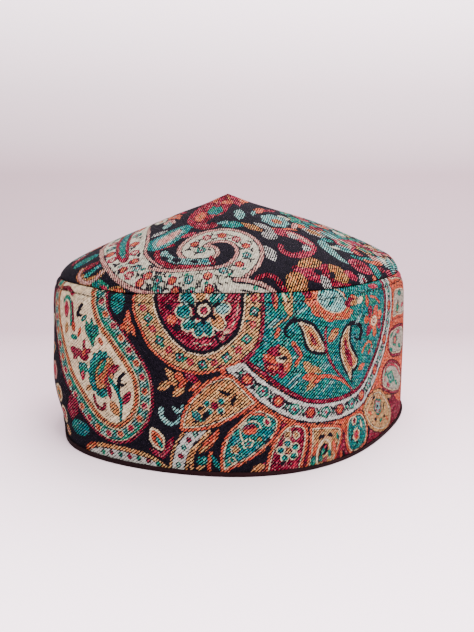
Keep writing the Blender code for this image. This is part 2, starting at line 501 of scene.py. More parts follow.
def lay_fillers(cloth):
    """What lies on the dark ground between the left paisley and the large petals."""
    cloth.patch("teal", ((-58.4, 77), (-52, 77.5), (-51.4, 71.5), (-54.4, 68.6), (-57, 71)))
    cloth.leaves(
        ("orange", -48.5, 65.2, 12.5, 3.4, 90), ("orange", -50.6, 64, 7, 2.3, 58),
        ("orange", -46.2, 62.4, 7, 2.3, 115), ("gold", -48.6, 63, 6, 1.2, 90),
        ("gold", -28.4, 44.2, 5.2, 3, -52), ("orange", -23.9, 43.2, 4.6, 3.2, -30),
        ("gold", -31, 38.7, 7.4, 3.6, 28), ("gold", -24.4, 36.8, 7.2, 3.6, 44),
        ("orange", -22.2, 40.2, 6, 2.4, 40), ("gold", -26.8, 40.8, 5, 3, -40),
        ("crimson", -18.2, 43, 8, 3.4, -35), ("orange", -16.6, 39.4, 8, 2, 40),
    )
    cloth.stem(
        "ice", 2.2,
        ((-32.4, 28.4), (-32.4, 25.2), (-29.4, 22.4), (-26, 22.6), (-23.6, 25.6), (-22.4, 30.5)),
        end_width=1.2,
    )
    cloth.stem("ice", 1.2, ((-26.6, 29.4), (-25.4, 27.4), (-24.4, 28.2)))
    cloth.leaves(
        ("crimson", -29.6, 11, 12, 3.4, 62), ("crimson", -35, 8.2, 7, 2.6, -25),
        (cream_edged("orange", 1.1), -34.6, 14.6, 11.5, 6.8, -60), ("teal", -33.4, 13.2, 6, 2, -60),
    )


def lay_upright_strip(cloth):
    """The upright floret strip, and the plant to its right."""
    strip = ((-25, 0), (-24.4, 5), (-22.6, 11), (-19.2, 16.2), (-14.5, 20.4))
    cloth.strip((("gold", -4.3), ("ground", -3.2), ("pale", -2.7)), strip)
    for i, (u, v, heading) in enumerate(beads(strip, 4, 4.3)):
        cloth.bloom("crimson" if i % 2 else "green", u, v, 2.6, 2.6, heading, 5, 0.25)
        cloth.bloom("rose" if i % 2 else "ice", u, v, 1, 1)
    cloth.stem("gold", 1.5, ((-18.6, 3), (-18.2, 8), (-15.6, 14), (-10.6, 20)))
    cloth.leaves(
        ("orange", -10.4, 15, 13, 3.2, 48), ("orange", -8.2, 17.6, 8, 2.4, 62),
        ("gold", -12.6, 12.4, 7, 2, 40), ("teal", -13.6, 6.8, 5.2, 4, 20), ("gold", -14.6, 3.6, 5, 1.8, 20),
    )
    cloth.stem("orange", 1.6, ((-10.4, 1.5), (-10.6, 6), (-9.8, 10.5)))
    cloth.leaf("teal", -7.5, 6.2, 8, 2, -62)


def lay_left_edge(cloth):
    """Flowers and leaves at the left edge of the front."""
    cloth.blooms(
        ("teal", -78.4, 11.8, 14, 7.2, 5), ("crimson", -83.6, 20.6, 9, 13, -25, 5, 0.2),
        ((("blush", 0), ("rose", 1.7)), -103, 34, 9, 9.4),
        ((("cream", 0), ("gold", 1.1), ("green", 3)), -97.6, 24, 8, 9),
        ((("cream", 0), ("rose", 1.1), ("blush", 2.6)), -94.4, 14, 7.4, 8.6),
        ((("gold", 0), ("blush", 1.2)), -91.4, 6.4, 6, 5), ((("rose", 0), ("sand", 1.4)), -107, 20, 7, 8),
    )
    cloth.leaves(
        ((("gold", 0), ("teal", 1)), -108, 44, 14, 5.6, 20),
        (cream_edged("teal", 1), -108, 58, 12, 5, 40), ("crimson", -106, 70, 12, 4, 60),
        ("orange", -104, 9, 10, 3.6, 20),
    )


def lay_floret_border(cloth):
    """The pale floret border round the large teal field, with its dark and orange edge."""
    cloth.strip((("orange", -6.8), ("ground", -4.8), ("pale", -4.0)), FLORET_BORDER)
    for i, (u, v, heading) in enumerate(beads(FLORET_BORDER, 7.8, 8.55)):
        if i % 2:
            cloth.bloom(
                (("ground", -0.3), ("green", 0), ("ice", 0.8), ("rose", 1.5)), u, v, 5.4, 5.2, heading, 5,
                0.22,
            )
        else:
            cloth.bloom(
                (("ground", -0.2), ("crimson", 0), ("orange", 0.6), ("gold", 1.9)), u, v, 5.8, 5.4, heading,
                6, 0.18,
            )
    for place in beads(FLORET_BORDER, 3.6, 8.55):
        lay_sprig(cloth, "ground", place, 1.35, 0.7, 2.9, 1.2, 52)
        cloth.bloom("green", *place[:2], 1.2, 1.2)


def lay_petal(cloth, fill, outline, rim="orange"):
    cloth.patch((("ground", -0.6), (rim, 0), ("cream", 1.2), ("ground", 1.9), (fill, 2.2)), outline)


GOLD_PETAL = (
    (-1, 44.8), (-6, 44), (-11, 42), (-15.5, 38), (-19.4, 33.5), (-22, 28.5), (-23.4, 23.5), (-23.2, 19.6),
    (-17, 20), (-10.2, 21.3), (-4, 23.8), (1.8, 26.6), (7.4, 29.8), (11, 32.6), (7.4, 37), (3, 41.6),
)
LEFT_TEAL_PETAL = (
    (-4.6, 1), (-5.6, 8), (-5, 13.2), (-2.9, 18.4), (0.6, 22.6), (5.5, 27.2), (10.8, 30.4), (16.5, 28.6),
    (21, 24.6), (20, 19), (16.6, 14), (11.5, 9.8), (5.8, 6.4), (-0.4, 3.4),
)
CRIMSON_PETAL = (
    (13.6, -3), (14.4, 3), (15.8, 9), (18, 14.6), (21.6, 20), (26, 22.6), (31, 22), (34.2, 19.6),
    (34.6, 14), (33.6, 8), (32, 3), (30, -3),
)
SECOND_GOLD_PETAL = (
    (33, -3), (34.4, 4), (35.4, 10), (35.8, 19.2), (38, 20), (44.5, 19.2), (52, 17.6), (54.6, 15.6),
    (54.4, 10), (52.6, 6), (51, 2), (49.6, -3),
)
RIGHT_TEAL_PETAL = (
    (63, 0.6), (59.4, 3.4), (57.2, 9), (56.9, 15), (58.4, 19.4), (63, 20.8), (69, 20.2), (73.6, 16.4),
    (76.2, 11), (76.6, 5), (73, 1.6), (68, 0.4),
)
SAND_PETAL = (
    (71.6, 20.5), (75.6, 24.6), (84, 26.4), (92, 25), (98.5, 20.4), (104.4, 15), (108.6, 9), (107.6, 3),
    (98, 2), (88, 4.6), (80, 8.8), (74.6, 14),
)
LOW_SAGE_PETAL = (
    (93.6, 29.6), (95, 34.6), (103, 37), (112, 35.2), (120, 32.4), (128, 27.6), (132.4, 20), (126, 15.4),
    (112, 17.8), (102, 21.4), (95, 25),
)
MIDDLE_SAGE_PETAL = (
    (104, 52), (114, 53), (128, 51.4), (136, 47), (137, 40), (128, 35.4), (118, 36.6), (109, 38.4),
    (102.4, 43), (101.8, 48.6),
)
HIGH_SAGE_PETAL = (
    (107.4, 57.4), (116, 57.2), (128, 55.6), (139, 57), (140, 66), (132, 70.8), (119.6, 73), (109.4, 72),
    (107, 64),
)
ROSE_PETAL = (
    (110, 76), (118, 75.6), (128, 74), (140, 72), (142, 81), (110, 81),
)


def lay_petal_ground(cloth):
    """The crimson and orange between the large petals."""
    cloth.patch("crimson", ((11, -3), (15.6, 9), (21, 24), (30, 26), (60, 23), (62, 10), (66, -3)))
    cloth.patch(
        "orange",
        ((22, 23), (26, 25.6), (40, 23.6), (60, 22.6), (58, 16), (54, 12), (50, 18), (36, 19), (33, 22)),
    )
    cloth.patch(
        (("gold", 0), ("ground", 1.6), ("orange", 2.2)),
        ((84, 24), (86, 34), (95, 54), (104, 84), (144, 84), (144, 40), (143, 10), (142, -5), (100, -5),
         (104, 14), (112, 15)),
    )
    cloth.patch("crimson", ((98, -5), (104, 14), (112, 17), (120, 12), (130, 8), (141, 6), (140, -5)))
    cloth.bloom("ground", 55.4, 1, 4.6, 7)


def lay_left_petals(cloth):
    """The first three of the large petals that stand in a ring round the floret border."""
    lay_petal(cloth, "gold", GOLD_PETAL)
    for u, v in ((-11.5, 32.2), (-5.2, 33.3), (-5.4, 29.1), (-10.4, 28.6)):
        cloth.bloom((("cream", 0), ("teal", 0.6)), u, v, 3.9, 3.5)
    cloth.blooms(
        ("crimson", -8, 31.2, 3.2, 3.2, 20, 4, 0.2),
        ((("teal", 0), ("ice", 1.3)), -16.2, 26.6, 5.2, 3.8, -40, 6, 0.3),
    )
    cloth.leaves(
        ("green", -13.4, 25, 4, 1.8, 20), ("ground", -3.6, 36.9, 6.4, 1.9, -22),
        ("ground", 0.2, 33.7, 6.6, 2.2, 66), ("ground", -12.2, 26.8, 5.6, 2.4, 52),
        ("ground", -14, 29.8, 4, 1.6, 30), ("ground", -16.6, 23.8, 4, 1.2, 10),
    )
    lay_petal(cloth, "teal", LEFT_TEAL_PETAL)
    cloth.stem("cream", 1.0, ((4, 16.6), (3.2, 19.6), (4.4, 23), (8, 24.6), (11.2, 23.6), (12.4, 21)))
    cloth.blooms(
        ("orange", 7.6, 20.8, 7.6, 4.6, 10, 6, 0.15), ("crimson", 7.4, 22.2, 5, 2, 15),
        (cream_edged("teal", 0.9), 6.6, 14.8, 6.4, 5, 20, 5, 0.25), ("rose", 6.6, 14.8, 1.3, 1.3),
        (cream_edged("crimson", 0.8), 15, 24, 3.4, 4.6, 30),
    )
    cloth.stem("orange", 1.0, ((9, 27.4), (12.2, 27.6), (14.6, 26.4)))
    cloth.blooms(
        ("gold", 11.6, 16.6, 3.4, 2.6, 40, 4, 0.3),
        (cream_edged("gold", 0.7), 1, 12.2, 5, 4.6, 0, 5, 0.3),
        (cream_edged("green", 0.7), -0.4, 7.4, 4, 3.6, 0, 5, 0.3),
    )
    lay_petal(cloth, "crimson", CRIMSON_PETAL)
    cloth.blooms(
        (cream_edged("gold", 0.8), 24.7, 17.6, 5.2, 3.8, 60, 3, 0.2),
        (cream_edged("gold", 0.8), 28.6, 17, 5, 3.6, 120, 3, 0.2),
    )
    for turn in range(5):
        angle = math.radians(98 - 72 * turn)
        u, v = 25 + 3.6 * math.cos(angle), 10.2 + 3.4 * math.sin(angle)
        cloth.bloom(cream_edged("teal", 0.8), u, v, 4.6, 4.2)
    cloth.bloom("gold", 25, 10.2, 2.6, 2.6)
    cloth.leaves(("ground", 22.6, 5, 4, 1.6, 40), ("rose", 28, 3.4, 5, 2, 70))


def lay_foot_petals(cloth):
    """The two large petals at the foot of the front."""
    lay_petal(cloth, "gold", SECOND_GOLD_PETAL)
    cloth.leaves(
        ("orange", 38.6, 9, 8, 1.8, 70), ("orange", 49.6, 8, 8, 1.8, 105), ("rose", 39.4, 6, 5, 1.2, 62),
        ("green", 51.6, 12.4, 4, 1.2, 100),
    )
    cloth.patch(
        "sand",
        ((40, 12.4), (41, 15.4), (44.6, 17), (48.6, 15.2), (49.6, 12.6), (47.4, 10.6), (47.4, 3), (40, 3),
         (40.6, 9)),
    )
    cloth.stem(
        "cream", 1.2, ((40.2, 1), (39.4, 5), (40.4, 9), (43.2, 12.4), (46.2, 11), (47.2, 7.6), (47.4, 3)),
    )
    cloth.leaves(("ground", 42, 14.2, 4.4, 2.0, 25), ("ground", 47, 14, 4.6, 2.0, -25))
    cloth.patch(
        "ground",
        ((40.4, 1), (40.4, 5), (41.4, 8.6), (43.4, 11), (45.2, 10.2), (46, 8), (44.8, 5.8), (42, 5)),
    )
    cloth.leaves(
        ("green", 43, 7.4, 4, 1.8, 60), ("rose", 44.2, 9, 2.6, 1.2, 60), ("green", 41.6, 4, 3.2, 2.2, 70),
    )
    cloth.bloom("crimson", 44.2, 3, 3, 3.4, 0, 5, 0.2)
    cloth.leaves(("green", 37.6, 3.4, 5, 2.6, 70), ("green", 46.8, 5.6, 4, 2, 100))
    lay_petal(cloth, "teal", RIGHT_TEAL_PETAL)
    cloth.blooms(
        (cream_edged("crimson", 0.9), 63.4, 16.8, 4.4, 4.8, 20, 5, 0.2),
        (cream_edged("orange", 0.9), 65.6, 9.6, 6, 7.6, 20, 6, 0.2), ("rose", 65.4, 9.8, 2.2, 2.6),
    )
    cloth.leaves(
        ("ground", 62, 9, 3.4, 1.8, 70), ("ground", 67, 5.6, 3.4, 1.8, 40), ("cream", 69.4, 14, 5, 2, 110),
    )


def lay_side_petals(cloth):
    """The large petals that climb the right side."""
    cloth.patch("crimson", ((78, -4), (78.6, 6), (81, 9), (88, 5.4), (98, 2.6), (112, 0), (112, -5)))
    lay_petal(cloth, "sand", SAND_PETAL, "gold")
    cloth.blooms(
        ((("gold", -0.8), ("green", 0), ("rose", 0.8), ("ice", 1.8)), 88.6, 17.2, 12, 8.4, -30, 5, 0.25),
        ("ground", 88, 17.4, 2.6, 2),
    )
    for u, v, turn in ((80.4, 20.6, 30), (86, 11.4, -20), (98, 9.6, -30), (96.6, 15, 60), (83, 23, 20)):
        cloth.leaf("ground", u, v, 4.4, 1.6, turn)
    cloth.leaves(
        ("orange", 79, 16.6, 6, 1.8, -30), ("orange", 102, 7.4, 6, 2, -35), ("green", 93, 9, 4, 1.8, -10),
    )
    lay_petal(cloth, "sage", LOW_SAGE_PETAL, "crimson")
    cloth.stem("rose", 1.2, ((98, 28), (99, 33), (104, 34.6), (112, 33), (120, 29.4), (127, 24)))
    cloth.blooms(
        ((("green", 0), ("ice", 1.3)), 108, 27.4, 14, 6.4, -24, 4, 0.3), ("ground", 108, 27.4, 3.4, 2),
    )
    cloth.leaves(
        ("rose", 103.4, 24.6, 6, 2, -30), ("green", 118, 22, 7, 2.2, -30), ("green", 99.6, 31, 4, 1.8, 20),
    )
    lay_petal(cloth, "sage", MIDDLE_SAGE_PETAL, "crimson")
    cloth.blooms(((("green", 0), ("rose", 1)), 114, 45.6, 10, 7, -5, 5, 0.3), ("gold", 114, 45.6, 2.8, 2.4))
    cloth.leaves(
        ("green", 107, 42, 7, 2, -20), ("green", 124, 40.6, 8, 2.2, -20), ("rose", 120, 49, 8, 2, -5),
        ("green", 107, 49.4, 5, 1.8, 20),
    )
    lay_petal(cloth, "sage", HIGH_SAGE_PETAL)
    cloth.leaf("green", 120.5, 69, 9, 2.8, -5)
    cloth.blooms(
        ((("gold", 0), ("green", 0.9)), 116, 62.4, 8, 6.6, 0, 5, 0.3), ("ground", 117, 65.5, 2.4, 1.8),
    )
    cloth.leaf("rose", 128, 62, 9, 2.4, 0)
    lay_petal(cloth, "rose", ROSE_PETAL)
    cloth.leaf("orange", 122, 78.6, 12, 2.6, -3)


def lay_middle_border(cloth):
    """The gold floret border, and the crimson field in it."""
    cloth.patch((("orange", 0), ("ground", 1.0), ("sand", 1.4)), MIDDLE_BORDER_OUTER + MIDDLE_BORDER_TOP)
    cloth.stem("crimson", 1.5, MIDDLE_BORDER_OUTER[9:])
    for i, (u, v) in enumerate((
        (-41.2, 72.5), (-38.2, 67.8), (-36.2, 63.2), (-32.8, 58.2), (-28.6, 54.6), (-23.6, 51.6),
        (-18.8, 49.8), (-13.4, 48.8), (-8, 49.8), (-2.8, 52.2), (2.4, 55.4), (6, 60), (8.6, 66),
        (9.2, 71.4), (9.4, 76.6),
    )):
        if i % 2:
            cloth.bloom((("ground", 0), ("green", 0.4), ("ice", 1.1)), u, v, 4.8, 5.2, 9 * i, 4, 0.32)
            cloth.bloom("rose", u, v, 1.3, 1.3)
        else:
            cloth.bloom((("rose", 0), ("orange", 0.8)), u, v, 3.8, 3.8, 9 * i, 5, 0.25)
            cloth.leaf("green", u - 2.4, v + 1.4, 2.2, 0.9, 30)
            cloth.leaf("crimson", u + 2.4, v - 1.2, 2.4, 0.9, 20)
    cloth.patch((("cream", 0), ("ground", 0.75), ("crimson", 2.6)), MIDDLE_BORDER_INNER + MIDDLE_FIELD_TOP)
    # Pale yarns lie over the crimson in the field's lower right
    cloth.patch(
        "rose", ((-5, 60.4), (-1.4, 62), (2, 66.6), (3.2, 72), (2.8, 77), (0.8, 76), (0, 70), (-2.6, 65.4)),
    )
    cloth.leaf("rose", -13, 58.4, 10, 1.8, 6)
    for u, v, turn in (
        (-16.6, 57.8, 10), (-13, 57.2, 15), (-9.8, 57.8, 25), (-4.6, 60.4, 45), (-2, 63, 48),
        (0.2, 66.2, 55), (1.6, 70, 65), (2.2, 73.6, 75), (-3.2, 63.2, 48),
    ):
        cloth.leaf("cream", u, v, 4.6, 0.9, turn)
    cloth.stem("ground", 1.8, ((-8.8, 64), (-7.2, 60.8), (-5, 56.6)), end_width=1.2)
    cloth.blooms(
        ("orange", -27, 67.6, 5.4, 4.6, 20), ("ground", -24.5, 63.9, 4.4, 3, 10),
        ("ground", -28.8, 72.8, 4, 2.6, -20), ("gold", -19.6, 77.6, 6, 3),
    )
    cloth.stem("orange", 1.8, ((-17.6, 79), (-15.6, 76), (-15.2, 75)))


def lay_middle_flower(cloth):
    """The crimson field's large flower: pale-edged petals round a rose heart."""
    petals = (
        ("teal", -20.4, 76, 7.4, 5.2, 150), ("teal", -21.8, 71, 6.4, 5.2, 0),
        ("teal", -19.2, 66.2, 6.6, 5, 45), ("teal", -14.7, 63.9, 6.6, 4.6, 75),
        ("teal", -10.9, 64.2, 6.2, 4.2, 105), ("gold", -6.6, 67.2, 7.2, 5.2, 130),
        ("ice", -4.4, 72.4, 6.2, 4.4, 5), ("teal", -6.8, 77, 8.2, 5.2, 35),
        ("gold", -14.4, 77.6, 4.4, 4.6, 90),
    )
    for fill, u, v, length, width, turn in petals:
        cloth.bloom("cream", u, v, length + 2.0, width + 2.0, turn, 8, 0.1)
    cloth.bloom("ground", -12.8, 71.8, 8.6, 8.4)
    for fill, u, v, length, width, turn in petals:
        cloth.bloom(fill, u, v, length, width, turn, 8, 0.12)
    for u, v, length, turn in (
        (-18, 73.4, 4.4, 160), (-17.2, 68.6, 4.2, 35), (-12.8, 67.4, 4.2, 95), (-8.6, 69, 4, 145),
        (-7.8, 73.8, 5, 20),
    ):
        cloth.leaf("ground", u, v, length, 2, turn)
    for u, v, turn in ((-21.6, 74.6, 150), (-20, 67.4, 45), (-4.6, 73.4, 10), (-6.4, 77.4, 35)):
        cloth.leaf("ice", u, v, 3.6, 1.2, turn)
    cloth.bloom((("cream", 0), ("rose", 1.0), ("crimson", 1.7)), -12.6, 71.7, 5.4, 5.2)


def lay_right_round(cloth):
    """The large teal field, and the leaves by its left edge."""
    cloth.patch((("ground", -0.3), ("crimson", 0.2), ("ground", 1.7), ("teal", 2.1)), RIGHT_ROUND)
    cloth.leaves(
        ("orange", 18.8, 75.4, 9, 3, 88), ("crimson", 17.9, 76.6, 6, 1.6, 80),
        ((("green", 0), ("gold", 0.9)), 24.4, 73.4, 13, 6, 108), ("cream", 23.4, 76.4, 6, 1.6, 108),
        ("ice", 17.6, 66.4, 6.4, 1.6, 40), ("orange", 19.4, 62.2, 6, 2.4, 68),
        ("ice", 31, 70.8, 6, 1.4, 25),
    )


def lay_dark_heart_flower(cloth):
    """The crimson and gold flower with the dark heart, at the field's left."""
    cloth.bloom("crimson", 18.6, 50.6, 11.6, 14, -12, 8, 0.16)
    cloth.leaves(
        ("orange", 16.6, 51.4, 8.4, 3.4, -28), ("orange", 17.6, 47.4, 6, 2.4, -10),
        ("crimson", 22, 45.4, 6, 4, 60),
    )
    cloth.patch(
        "gold",
        ((20.6, 57), (24, 55), (26, 51.4), (26, 47.6), (23.8, 44.8), (22.2, 47.6), (21.6, 52), (20, 54.6)),
    )
    cloth.leaf("orange", 23.6, 47.4, 5, 2, 60)
    cloth.blooms(("cream", 21, 51, 5, 3.4, -10), ("ground", 21.9, 51.4, 3.9, 1.9, 8))
    cloth.stem(
        "gold", 1.9, ((27, 80), (26.4, 75), (26, 71.4), (24.6, 68.8), (21.5, 66.8), (17.5, 64.5)),
        end_width=0.9,
    )
    cloth.stem(
        "orange", 2.4, ((26.8, 57.2), (28.4, 55), (30.2, 52.4), (29.4, 50), (27.9, 48)), end_width=1.9,
    )
    cloth.leaves(("crimson", 28.4, 54, 6, 1.6, -58), ("ice", 27.4, 51.6, 3.6, 1.2, 40))


def lay_small_paisleys(cloth):
    """The two small paisleys in the teal field, each with a curl at its top."""
    cloth.stem(
        "ground", 2.5, ((31.5, 66), (27.4, 67), (24.2, 65.6), (22.8, 62.8), (23.6, 60.4)), end_width=1.4,
    )
    cloth.stem("ground", 1.3, ((23.4, 61), (25.4, 60), (27, 61)))
    cloth.patch(
        "ground",
        ((28.6, 67), (33, 67), (37, 65.2), (40, 61.8), (42.4, 57.6), (44.6, 52), (42.6, 50.8), (39, 51.2),
         (35.2, 52.2), (32.4, 55), (31, 59.6), (29.6, 63.6)),
    )
    cloth.patch(
        (("cream", 0), ("gold", 0.8), ("orange", 2.3), ("crimson", 2.7)),
        ((29.2, 66), (33.4, 65.2), (36.8, 63.2), (39.4, 59.8), (41.6, 55.8), (43.2, 52.6), (39, 52.8),
         (35.8, 53.8), (33.6, 56.6), (32.2, 60.6), (31, 63.8)),
    )
    # The right one
    cloth.stem(
        "ground", 2.2, ((57.5, 62), (61, 62.6), (65, 62), (68.2, 60), (69, 57), (67.8, 54.8)),
        end_width=2.8,
    )
    cloth.stem("ground", 1.7, ((68.2, 55), (65.8, 54.2), (63.4, 55.4)), end_width=1.2)
    cloth.patch(
        "ground",
        ((59.4, 62.8), (55.4, 61.8), (52.4, 58), (51.4, 52.6), (52.6, 47), (55, 42.4), (58, 38.6),
         (61.4, 34.6), (62, 39.4), (65.4, 41.6), (66.6, 45.4), (64, 49.4), (61.2, 52.8), (60, 56),
         (60.6, 59.6)),
    )
    cloth.patch(
        (("cream", 0), ("gold", 0.8)),
        ((59, 61.8), (56, 60.4), (53.6, 56.8), (52.8, 52.2), (54, 47.2), (56.4, 43), (60.4, 37), (61, 41.4),
         (64.4, 42.8), (65.2, 45.4), (62.6, 48.4), (59.6, 52.2), (58.6, 56), (58.6, 59.6)),
    )
    cloth.leaves(("crimson", 58.6, 48, 13, 3.4, -62), ("crimson", 56.2, 54, 6, 1.6, 100))


def lay_field_foot(cloth):
    """Stems and leaves that meet at the foot of the teal field."""
    cloth.stem(
        "crimson", 1.5,
        ((43.6, 63), (43.2, 58), (44.4, 51.6), (46.6, 47.2), (50, 43), (55, 38), (59.4, 33.8), (62, 31.4)),
    )
    cloth.stem("orange", 1.9, ((39, 41.6), (44, 41.2), (49, 40), (54.6, 37.2), (59, 34)), end_width=1.2)
    cloth.leaves(
        ("gold", 34.6, 46, 9, 4.2, -48), ("gold", 38.6, 44.8, 8, 3, -26),
        ("orange", 35.6, 42, 9.6, 3.6, -4), ("gold", 36.2, 38.8, 8.4, 3.8, 46),
        ("orange", 39.6, 40, 6, 2, 20),
    )
    for u, v, turn in (
        (26.4, 41.4, 40), (28.4, 42.6, 42), (27.4, 39.8, 40), (44.4, 36.2, 36), (46.4, 37.4, 36),
        (43, 46.6, 30), (44.6, 45.6, 30),
    ):
        cloth.leaf("ice", u, v, 6, 0.9, turn)
    cloth.leaf((("orange", 0), ("gold", 0.7)), 48, 59, 9, 4.6, 40)


def lay_orange_flower(cloth):
    """The large orange flower with the pale heart, and the sprays to its right."""
    cloth.blooms(
        ("orange", 45.5, 73.6, 27, 17, -18, 9, 0.12), ("crimson", 34.4, 77.6, 5, 3.4, -30),
        ("orange", 56, 67.4, 12, 5.6, 6, 5, 0.2), ("cream", 48.6, 73.8, 18.6, 11, -14),
        ("ice", 48.6, 73.8, 17, 9.4, -14),
    )
    for u, v, turn in (
        (37.6, 71.6, -70), (41, 68.6, -50), (46, 66.8, -30), (51, 66.4, -10), (57.6, 68.4, 20),
    ):
        cloth.leaf("gold", u, v, 4.4, 1.4, turn)
    cloth.stem("teal", 1.1, ((40.6, 76), (45, 78.4), (51, 77.6), (55.4, 74), (56.4, 71)))
    cloth.leaves(
        ("teal", 47.6, 73.6, 9, 2.2, 30), ("crimson", 59.8, 72, 9, 4.2, 10),
        ("gold", 63.4, 71.4, 7.4, 3, 5), ("orange", 63.4, 74, 7, 1.8, -15), ("cream", 68.4, 72, 7, 3, 15),
    )
    cloth.bloom("green", 72.6, 72.4, 3, 5)
    cloth.leaf("orange", 75, 70.8, 6, 3.4, 90)
    cloth.stem("orange", 1.4, ((79, 72.6), (83, 71.6), (88, 68.8)))
    cloth.stem("green", 1.2, ((78, 70), (81, 69.4), (84, 70)))
    cloth.leaves(("rose", 84, 76.6, 12, 2.6, -5), ("ice", 66.6, 64, 8, 2, 35))


def lay_right_flower(cloth):
    """The teal field's right flower, and the curled stem below it."""
    for colour, u, v, length, width, turn in (
        ("orange", 74, 62.4, 5.4, 4.2, 0), ("crimson", 77.4, 66, 5.6, 4.6, 60),
        ("orange", 83.2, 65.4, 6.4, 4.6, 30), ("orange", 88, 63, 5.2, 4.6, 0),
        ("crimson", 87.4, 58.4, 5.4, 4.4, -30), ("orange", 82.6, 55.6, 5.6, 4.4, 90),
        ("crimson", 76.4, 57.2, 6.4, 4.6, 40),
    ):
        cloth.bloom(colour, u, v, length, width, turn)
    cloth.blooms(
        ("orange", 81.4, 60.8, 9.6, 7.6), (cream_edged("rose", 1.3), 81.6, 60.8, 6.6, 5),
        ("cream", 81.8, 60.8, 2.4, 1.8),
    )
    cloth.stem(
        "orange", 1.4, ((70, 47.6), (72.6, 50.4), (76, 51.8), (79.4, 50.4), (79, 47.8), (76.4, 46.2)),
    )
    cloth.leaves(
        ("green", 75.2, 48.8, 5, 2, 10), ("rose", 76.8, 47.4, 4, 1.2, 20),
        ("orange", 69.2, 41.2, 7.4, 3, 12), ("ice", 79.6, 46.4, 5, 1.4, 120),
    )


def lay_side_stem(cloth):
    """A flowering stem on the dark ground at the side, between the large petals and the next paisley."""
    path = ((154, 1), (150, 14), (154, 28), (158, 42), (153, 56), (156, 72))
    cloth.stem("green", 1.5, path)
    hues = (("orange", "gold"), ("teal", "ice"), ("crimson", "rose"))
    for i, (u, v, _) in enumerate(beads(path, 6, 11)):
        side = 1 if i % 2 else -1
        outer, heart = hues[i % 3]
        cloth.leaf(("teal", "gold", "rose")[i % 3], u + 5.6 * side, v + 2.6, 10, 4, 90 - 50 * side)
        cloth.bloom(((outer, 0), ("cream", 1.7), (heart, 2.6)), u - 7 * side, v + 3, 9.6, 9.6, 90, 6, 0.2)
    cloth.bloom((("crimson", 0), ("orange", 1.6), ("gold", 3.4)), 156, 73, 11, 9, 90, 6, 0.2)


def lay_bottom_strip(cloth):
    """The low pale strip at the foot of the left paisley, under a twisted gold cord."""
    top = (
        (-74, 1), (-72.7, 4.8), (-68, 7), (-62.7, 8.2), (-51, 8.6), (-42, 7.8), (-35, 5.8), (-29.3, 2),
        (-28, 0),
    )
    cloth.patch((("gold", 0), ("ground", 1.9), ("pale", 2.3)), top + ((-36, -4), (-66, -4)))
    cloth.patch((("orange", 0), ("gold", 0.7)), ((-74.6, 2.6), (-72, 6.2), (-67, 7.2), (-69, 4.6)))
    row = ((-66, 3.6), (-58, 4.6), (-50, 4.6), (-42, 4.4), (-34, 3.4))
    for i, (u, v, heading) in enumerate(beads(row, 3, 4.8)):
        cloth.bloom("crimson" if i % 2 else "green", u, v, 2.5, 2.6, heading, 4, 0.25)
        cloth.bloom("rose" if i % 2 else "teal", u, v, 0.9, 0.9)
    cloth.leaves(
        ("gold", 11, 3.4, 7.6, 3.4, 25), ("orange", 54.4, 3.2, 4, 2, 90),
        ("crimson", 84, 3.4, 12, 2.6, -10),
    )


# The crown's motifs: u to the right and v away from the front, in mm from the peak

SPIRAL = (
    (-58, 8), (-58.8, -10), (-59, -28), (-56.8, -45), (-54, -58), (-49, -69.6), (-40.5, -79), (-29, -85),
    (-14, -87.6), (-2.6, -86.4), (4.6, -80.4), (8.2, -71), (7.2, -61.6), (1.6, -54.6), (-6.3, -52.8),
    (-14.6, -55), (-20, -61.4), (-18.8, -67), (-13.4, -68.6),
)
SPIRAL_INNER_LIMB = (
    (-49, 8), (-48, -12), (-46.6, -30), (-46.8, -45), (-47, -58), (-43.4, -68), (-36.5, -79),
)


def lay_crown_pattern(cloth):
    for lay in (
        lay_left_ground, lay_far_flowers, lay_blue_flower, lay_flower_crowd, lay_rose_curl, lay_seam_flower,
        lay_spiral, lay_spiral_florets, lay_spiral_tail, lay_inner_leaf, lay_left_of_peak, lay_peak,
    ):
        lay(cloth)


def lay_left_ground(cloth):
    """Leaves and small flowers on the dark ground left of the spiral."""
    cloth.leaves(("crimson", -77, -27, 22, 5, 76), (cream_edged("rose", 1.2), -84, -12, 20, 6, 85))
    cloth.blooms(
        ((("teal", 0), ("green", 2.4)), -71.6, -39.6, 13.5, 8.4, 29), ("crimson", -68.2, -51.2, 9, 4.8, 14),
    )
    cloth.stem(
        (("gold", 0), ("blush", 0.9)), 3.6,
        ((-61.4, -62), (-66, -64.6), (-70.2, -63), (-73.2, -59), (-74.2, -54), (-72, -51)),
    )
    cloth.stem("gold", 1.2, ((-66, -62.4), (-70, -60.6), (-71.8, -56)))
    cloth.stem("teal", 3.2, ((-69.6, -58.2), (-66.6, -57.6), (-63.4, -55.6)))
    cloth.blooms(
        ("green", -64, -70.6, 12.5, 6.6, -56, 6, 0.15), ("teal", -65.6, -67.4, 4.6, 3.4, -40),
        ("rose", -62.2, -72.2, 6.4, 3, -50, 4, 0.2),
    )
    cloth.leaf((("gold", 0), ("orange", 0.8)), -55.4, -77.8, 9.4, 4, -40)
    cloth.bloom("gold", -58.4, -75.2, 3, 2.4)


def lay_far_flowers(cloth):
    """The small flowers far back on the crown, from a seeded draw."""
    hues = ("rose", "ice", "gold", "blush", "teal", "cream", "orange", "green")
    pick = random.Random(4)
    for row, v in enumerate(range(-22, 16, 8)):
        for u in range(-96, 97, 9):
            at = u + 4.5 * (row % 2) + pick.uniform(-1.5, 1.5)
            outer, heart, leaf = pick.sample(hues, 3)
            turn = pick.uniform(40, 140)
            if 26 < abs(at) and not -70 < at < -40:
                length, width = pick.uniform(8, 10.5), pick.uniform(6, 8)
                cloth.bloom(((outer, 0), (heart, 2.3)), at, v, length, width, turn, 5, 0.24)
                cloth.leaf(leaf, at + 4.4, v + 4, 6.4, 2.4, turn)


